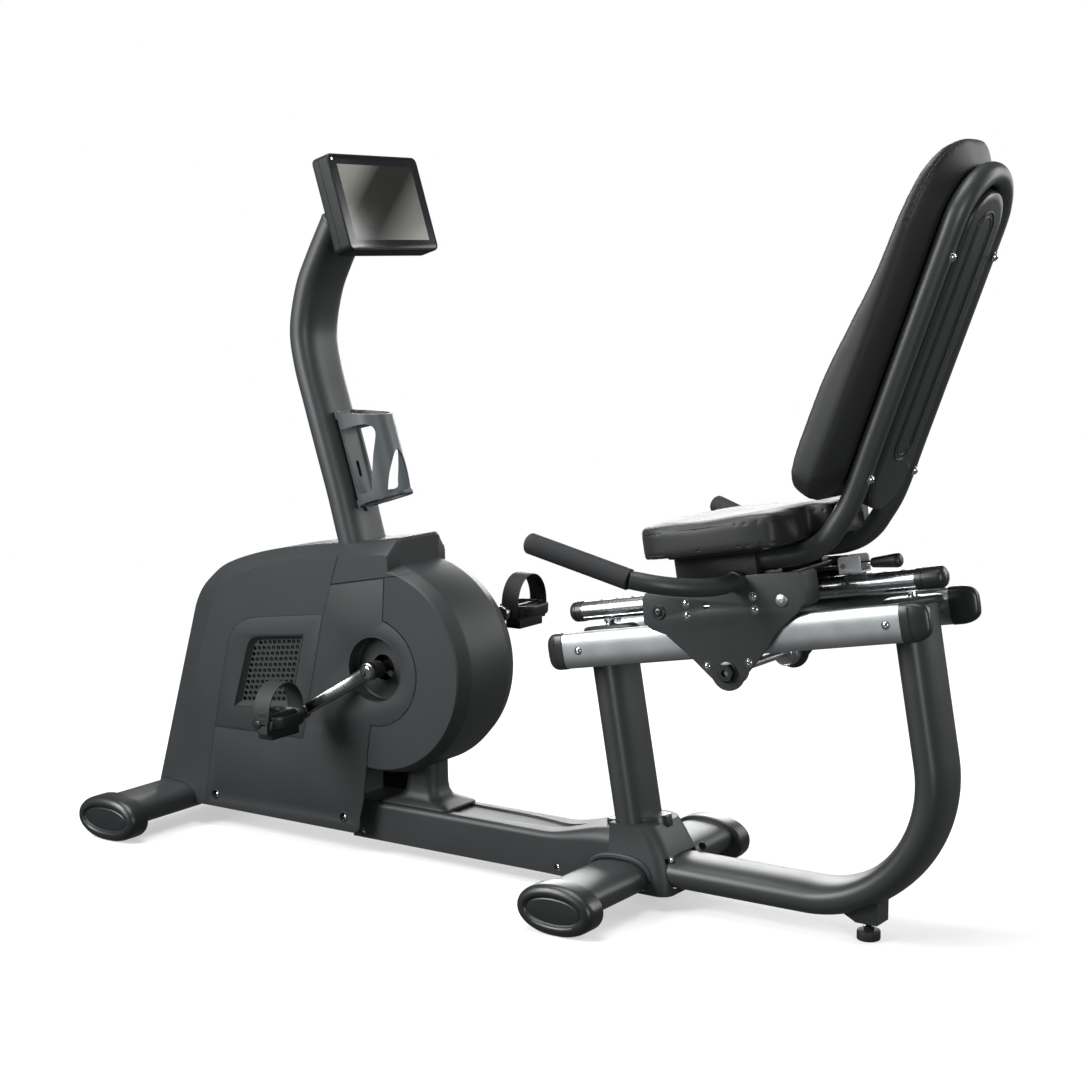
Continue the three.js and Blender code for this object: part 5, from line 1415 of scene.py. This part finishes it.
pan = plate("seat_pan_fine", seat_plan(30), 148.4, 153.5, "XY", RAILS, 1.6)
dress(pan, "carriage", BLACK_PLASTIC, "black", "seat_pan")

level = [sloped(s, LEG_N) for s in (200, 260, 320, 345)]
bend = [sloped(s, n) for s, n in ((372, 130.5), (400, 137), (426, 151), (446, 170))]
upright = [reclined(0, u) for u in (20, 120, 250, 380, 470)]
leg = [(x, -LEG_Y, z) for x, z in level + bend + upright]
crown = [(reclined(0, u)[0], y, reclined(0, u)[1]) for y, u in arc(0, 500, LEG_Y, 170, 10, 10)]
hoop = leg + crown + [(x, -y, z) for x, y, z in leg[::-1]]
hoop_tube = sweep("backrest_frame_fine", smooth_line(hoop, 7), circle(19, 44), BIKE, (0, 1, 0))
dress(hoop_tube, "carriage", FRAME_COAT, "frame_coat", "backrest_frame")
lean = math.radians(LEAN)
for name, place in (("left", RECLINE @ Matrix.Scale(-1, 4, (0, 1, 0))), ("right", RECLINE)):
    for k, (x, z) in enumerate(((598, 1188), (467, 821))):
        u = (x - BACK_FOOT[0]) * math.sin(lean) + (z - BACK_FOOT[1]) * math.cos(lean)
        bolt = domed_bolt(f"backrest_bolt_{name}_{k}", 7.5, place, (18.4, LEG_Y, u), "X", 6.5)
        dress(bolt, "carriage", CHROME, "chrome")

SHELL_HALF = LEG_Y - 19 - 3
shell_outline = lambda d: rounded(2 * (SHELL_HALF - d), 566 - 2 * d, SHELL_HALF - 2 - d, 0, 281, 16)
levels = [(1, -20), (0, -19), (0, 10), (0.6, 14), (2.4, 17), (6, 18.6), (15, 19)]
back_shell = stack("shell", [[(x, y, u) for y, u in shell_outline(d)] for d, x in levels], RECLINE)
track_outline = rounded(66, 442, 32, 0, 311, 16)
tracks = []
for name, d, x0, x1 in (("rim", 0, 18.4, 20.6), ("step", 9, 18.4, 19.9)):
    outer, inner = inset(track_outline, d), inset(track_outline, d + 3)
    tracks.append(plate(name, outer, x0, x1, "YZ", RECLINE, 0.8, [inner]))
dress(merge("backrest_shell_fine", back_shell, *tracks), "carriage", CAP_PLASTIC, "black", "backrest_shell")
print("backrest tube:", round(hoop_tube.dimensions.z, 3), "m high")

# %% [markdown]
# These helpers turn a plain body into a cushion. A voxel remesh gives even faces and the cloth solver swells
# them. Each point then keeps only its move along its normal, averaged with its neighbours, so the vinyl looks
# tight. Seams come last, because a remesh would swallow them: a channel is pressed in and a thin welt laid
# in it.

# %% Blowing a cushion up
def remeshed(obj, size):
    modifier = obj.modifiers.new("even", "REMESH")
    modifier.mode, modifier.voxel_size = "VOXEL", size * 0.001
    return settled(obj)


def settled(obj):
    """Applies an object's modifiers."""
    mesh = bpy.data.meshes.new_from_object(obj.evaluated_get(bpy.context.evaluated_depsgraph_get()))
    obj.modifiers.clear()
    obj.data = mesh
    return obj


def relaxed(obj, rounds, held=None):
    """Rounds off the edges by averaging neighbours."""
    work = bmesh.new()
    work.from_mesh(obj.data)
    free = [v for v in work.verts if held is None or not held(v.co)]
    for _ in range(rounds):
        bmesh.ops.smooth_vert(work, verts=free, factor=0.5, use_axis_x=True, use_axis_y=True, use_axis_z=True)
    work.to_mesh(obj.data)
    work.free()
    return obj


def evened(obj, moves, rounds):
    """Averages each point's move with its neighbours' moves, so that tight vinyl shows no fine wrinkles."""
    near = [[] for _ in moves]
    for edge in obj.data.edges:
        a, b = edge.vertices
        near[a].append(b)
        near[b].append(a)
    for _ in range(rounds):
        moves = [(move + sum((moves[k] for k in around), Vector())) / (len(around) + 1)
                 for move, around in zip(moves, near)]
    return moves


def blown_up(obj, held, cap, pressure=4.0, frames=20):
    """Inflates a closed pad with the cloth solver. Points move along their normals, by cap millimetres at most."""
    before = [(v.co.copy(), v.normal.copy()) for v in obj.data.vertices]
    group = obj.vertex_groups.new(name="held")
    group.add([v.index for v in obj.data.vertices if held(v.co)], 1.0, "REPLACE")
    cloth = obj.modifiers.new("cloth", "CLOTH")
    settings = cloth.settings
    settings.quality, settings.mass = 5, 1.2
    settings.tension_stiffness = settings.compression_stiffness = 25
    settings.bending_stiffness = 4
    settings.use_pressure, settings.uniform_pressure_force = True, pressure
    settings.effector_weights.gravity = 0
    settings.vertex_group_mass = "held"
    for step in range(1, frames + 1):
        bpy.context.scene.frame_set(step)
    settled(obj)
    obj.vertex_groups.clear()
    outward = [normal * (v.co - old).dot(normal) for v, (old, normal) in zip(obj.data.vertices, before)]
    moves = evened(obj, outward, 60)
    for vertex, (old, _), move in zip(obj.data.vertices, before, moves):
        vertex.co = old + move * min(1.0, cap * 0.001 / max(move.length, 1e-9))
    bpy.context.scene.frame_set(1)
    print(obj.name, "swells by up to", round(max(m.length for m in moves) * 1000, 1), "mm")
    return obj


def subdivided(obj):
    obj.modifiers.new("finer", "SUBSURF").levels = 1
    return crisp(settled(obj), 70)


def sewn(obj, line, width, depth):
    """Presses a channel into a pad along a closed line of scene points, as a seam does."""
    tree = KDTree(len(line))
    for k, point in enumerate(line):
        tree.insert(point, k)
    tree.balance()
    normals = [v.normal.copy() for v in obj.data.vertices]
    for vertex, normal in zip(obj.data.vertices, normals):
        distance = tree.find(vertex.co)[2] * 1000
        if distance < width * 2:
            vertex.co -= normal * (depth * 0.001 * math.exp(-(distance / width) ** 2 * 2))
    return obj


def seam_line(obj, points, inward, place, lift=0.0):
    """Drops points of the frame onto the pad, each along its own direction, and returns scene points."""
    hits = []
    turn = place.to_3x3()
    for point, direction in zip(points, inward):
        start_at, way = place @ Vector(point), (turn @ Vector(direction)).normalized()
        hit, where, normal, _ = obj.ray_cast(start_at, way)
        if hit:
            hits.append(where + normal * lift * 0.001)
    return hits


def welt(name, line, radius):
    """The thin rolled edge that is sewn into a seam."""
    section = circle(radius * 0.001, 12)
    count = len(line)
    for _ in range(3):
        line = [(line[k - 1] + line[k] * 2 + line[(k + 1) % count]) / 4 for k in range(count)]
    rings = []
    for k, point in enumerate(line):
        heading = (line[(k + 1) % count] - line[k - 1]).normalized()
        across = heading.orthogonal() if k == 0 else across - heading * across.dot(heading)
        across.normalize()
        up = heading.cross(across)
        rings.append([point + across * a + up * b for a, b in section])
    return stack(name, rings, Matrix.Identity(4), cap=False)


print("cushion helpers ready")

# %% [markdown]
# The seat is a low pad with a rounded top edge and a shallow dip where the rider sits. One seam runs round it
# just under the top, and another near its foot.

# %% Seat cushion
into_rails = RAILS.inverted()
seat_start = seat_plan(1)
seat_levels = [(2.5, 154), (0, 156.5), (0, 201), (1.6, 206), (5, 209), (11, 210.4), (30, 210.8)]
seat = stack("seat_cushion_fine", [[(s, y, n) for s, y in inset(seat_start, d)] for d, n in seat_levels], RAILS)
relaxed(remeshed(seat, 5), 3, lambda co: (into_rails @ co).z < 157)
blown_up(seat, lambda co: (into_rails @ co).z < 158, 5)
for vertex in seat.data.vertices:
    local = into_rails @ vertex.co
    dip = 5.5 * math.exp(-((local.x - 235) / 75) ** 2) * min(max((local.z - 170) / 35, 0), 1)
    vertex.co = RAILS @ (local - Vector((0, 0, dip)))
highest = max((into_rails @ v.co).z for v in seat.data.vertices)
for vertex in seat.data.vertices:
    local = into_rails @ vertex.co
    if local.z < 156:
        local.z = max(local.z, 153.9)
        vertex.co = RAILS @ local
subdivided(seat)
print("seat cushion rises to", round(highest, 1), "mm, with", len(seat.data.vertices), "points")
rim = smooth_line([(s, y, 0) for s, y in seat_plan(-14)], 2, True)
middle, level_only = Vector((250, 0, 0)), Vector((1, 1, 0))
inwards = [(middle - p) * level_only for p in rim]
upper, lower = [seam_line(seat, [(p.x, p.y, height) for p in rim], inwards, RAILS) for height in (199, 160)]
for line in (upper, lower):
    sewn(seat, line, 3.5, 1.6)
seams = []
for k, line in enumerate((upper, lower)):
    line = [into_rails @ p for p in line]
    outside = [p + (p - middle) * Vector((0.08, 0.08, 0)) for p in line]
    inwards = [(middle - p) * level_only for p in line]
    seams.append(welt(f"seat_seam_{k}", seam_line(seat, outside, inwards, RAILS, 0.8), 1.3))
seat = dress(seat, "carriage", VINYL, "vinyl", "seat_cushion")
dress(merge("seat_cushion_seams", *seams), "carriage", VINYL, "vinyl")
print("seat seams:", len(upper), len(lower), "points")

# %% [markdown]
# The backrest is thick at the bottom and thin at the top, with a rounded head. It starts as the overlap of
# two solids: its front view pulled forwards, and its side view pulled sideways.

# %% Backrest cushion
into_back = RECLINE.inverted()
HALF, TOP, BOTTOM, BACK_X, CORNER = 150, 638, -6, -20.8, 45


def back_outline(d):
    """The backrest from the front, drawn in by d: a round head and rounded lower corners."""
    return (arc(HALF - d - CORNER, BOTTOM + d + CORNER, CORNER, -90, 0, 8) + arc(0, TOP - HALF, HALF - d, 0, 180, 40)
            + arc(CORNER - HALF + d, BOTTOM + d + CORNER, CORNER, 180, 270, 8))


front_line = flat_line([(-38, TOP + 1), (-53, 631), (-64, 602), (-67, 570), (-67, 515), (-71, 393), (-86, 286),
                        (-98, 195), (-100, 77), (-94, 20), (-80, 3), (-44, BOTTOM - 3)], 5)
side_profile = [(BACK_X, BOTTOM), (BACK_X, TOP), *front_line]
swell = plate("swell", side_profile, -HALF - 8, HALF + 8, "XZ", RECLINE)
depths = [(43, BACK_X), (0, -50), (-1, -56), (-1, -130)]
slab = stack("backrest_cushion_fine", [[(x, y, u) for y, u in back_outline(d)] for d, x in depths], RECLINE)
carve(slab, swell, operation="INTERSECT")
backrest = relaxed(remeshed(slab, 5), 8, lambda co: (into_back @ co).x > -24)
blown_up(backrest, lambda co: (into_back @ co).x > -24, 7)
for vertex in backrest.data.vertices:
    local = into_back @ vertex.co
    if local.x > BACK_X:
        local.x = BACK_X
        vertex.co = RECLINE @ local
subdivided(backrest)
edge_loop = [(-52, y, u) for y, u in back_outline(-12)]
aim = [(0, -y, min(max(u, 120), TOP - HALF) - u) for x, y, u in edge_loop]
crease = seam_line(backrest, edge_loop, aim, RECLINE)
sewn(backrest, crease, 5, 1.2)
welt_line = seam_line(backrest, edge_loop, aim, RECLINE, 0.5)
backrest = dress(backrest, "carriage", VINYL, "vinyl", "backrest_cushion")
dress(welt("backrest_seam", welt_line, 1.3), "carriage", VINYL, "vinyl")
print("backrest cushion:", len(backrest.data.vertices), "points, seam of", len(crease))

# %% [markdown]
# ## Inside the housing
#
# The drive train is hidden, but it shows through the ventilation holes and in the exploded model. Its
# shapes are right as they are, so these nodes of the working model stay and only get their finishes.

# %% Finishes for the hidden parts
BELT = rubber("ribbed_belt_rubber", (0.02, 0.02, 0.021))
hidden = {"inner_frame": FRAME_COAT, "brake_magnets": DARK_STEEL, "flywheel": STEEL, "drive_pulley": BLACK_PLASTIC,
          "drive_belt": BELT}
for node, material in hidden.items():
    mesh = bpy.data.objects[node].data
    for k in range(max(1, len(mesh.materials))):
        if len(mesh.materials) <= k:
            mesh.materials.append(material)
        bpy.data.objects[node].material_slots[k].material = material
print("kept as they are:", *hidden)

# %% [markdown]
# ## The studio
#
# The bike stands on a pale seamless floor that fades into a white backdrop. Large area lamps light it from
# above, from the side and from behind, and weaker ones draw bright edges on the tubes and open up the far
# side. Large lamps give soft shadows and long smooth highlights on metal. The world is white only to the
# camera's own rays and dim to all others, because a white world would light every face evenly.

# %% Floor and lights
scene = bpy.context.scene
scene.view_settings.view_transform = "Standard"
floor = block("studio_floor", (-14000, -14000, -6), (14000, 14000, 0), Matrix.Scale(0.001, 4))
paper = Finish("studio_paper", (0.5, 0.5, 0.5), Specular_IOR_Level=0.0, Roughness=0.95, Emission_Strength=0.50)
paper.shader.inputs["Emission Color"].default_value = (1, 1, 1, 1)
paper.drive("Base Color", paper.tint(paper.noise(900, 2.0), (0.49, 0.49, 0.493), (0.51, 0.51, 0.512)))
FADE_FROM, FADE_TO = 1.5, 3.2  # metres from the bike's middle
reach = paper.node("VectorMath", {"operation": "LENGTH"}, {0: paper.place}, "Value")
fade = paper.node("MapRange", {}, {0: reach, 1: FADE_FROM, 2: FADE_TO})
lit = paper.node("Emission", {}, {"Color": (1, 1, 1, 1), "Strength": 1.0})
mixed = paper.node("MixShader", {}, {0: fade, 1: Signal(paper, paper.shader.outputs[0]), 2: lit})
paper.tree.links.new(mixed.socket, paper.tree.nodes["Material Output"].inputs[0])
floor.data.materials.append(paper.material)
floor.visible_diffuse = floor.visible_glossy = False  # the floor catches shadows but doesn't light the bike

world = bpy.data.worlds.new("studio")
world.use_nodes = True
glow = world.node_tree.nodes["Background"]
backdrop = world.node_tree.nodes.new("ShaderNodeBackground")
for background, strength in ((glow, 0.13), (backdrop, 1.0)):
    background.inputs["Color"].default_value = (1, 1, 1, 1)
    background.inputs["Strength"].default_value = strength
either = world.node_tree.nodes.new("ShaderNodeMixShader")
ray = world.node_tree.nodes.new("ShaderNodeLightPath")
joins = [(ray.outputs["Is Camera Ray"], either.inputs[0]), (glow.outputs[0], either.inputs[1]),
         (backdrop.outputs[0], either.inputs[2]),
         (either.outputs[0], world.node_tree.nodes["World Output"].inputs["Surface"])]
for source, target in joins:
    world.node_tree.links.new(source, target)
scene.world = world


def soft_light(name, place, aim, size, power):
    """A rectangular lamp, in metres and watts, that faces aim and isn't seen itself."""
    lamp = bpy.data.lights.new(name, "AREA")
    lamp.shape, lamp.size, lamp.size_y, lamp.energy = "RECTANGLE", size[0], size[1], power
    holder = bpy.data.objects.new(name, lamp)
    holder.location = place
    holder.rotation_euler = (Vector(aim) - Vector(place)).to_track_quat("-Z", "Y").to_euler()
    holder.visible_camera = False
    scene.collection.objects.link(holder)


soft_light("overhead", (-0.3, -0.3, 3.2), (0, 0, 0.3), (2.6, 1.6), 100)
soft_light("key", (-1.9, -2.4, 2.4), (-0.3, 0, 0.8), (1.2, 1.2), 120)
soft_light("side", (-2.2, -3.9, 1.7), (0.2, 0, 0.85), (2.0, 1.3), 110)
soft_light("rim", (2.6, 2.4, 1.9), (0.3, 0, 0.9), (0.6, 2.0), 50)
soft_light("behind", (-2.4, 4.6, 1.7), (0.2, 0, 0.6), (3.2, 1.6), 165)
soft_light("right", (3.2, -1.8, 1.2), (0.3, 0, 0.6), (0.7, 1.6), 45)
soft_light("far side", (1.2, 3.8, 1.5), (0.1, 0, 0.6), (1.6, 1.4), 18)

# %% [markdown]
# ## The camera
#
# A long lens a little above seat height keeps the bike's lines nearly parallel, as in a catalogue.

# %% Camera
LOOKS_DOWN, LOOKS_LEFT = 8.042, 33.581  # degrees
lens = bpy.data.cameras.new("catalogue")
lens.lens, lens.sensor_width = 69.75, 36
lens.clip_end = 60
camera = bpy.data.objects.new("catalogue", lens)
camera.location = (1.94137 + start, -3.28468, 1.20369)
camera.rotation_euler = (math.radians(90 - LOOKS_DOWN), 0, math.radians(LOOKS_LEFT))
scene.collection.objects.link(camera)
scene.camera = camera
print("camera at", [round(c, 3) for c in camera.location])
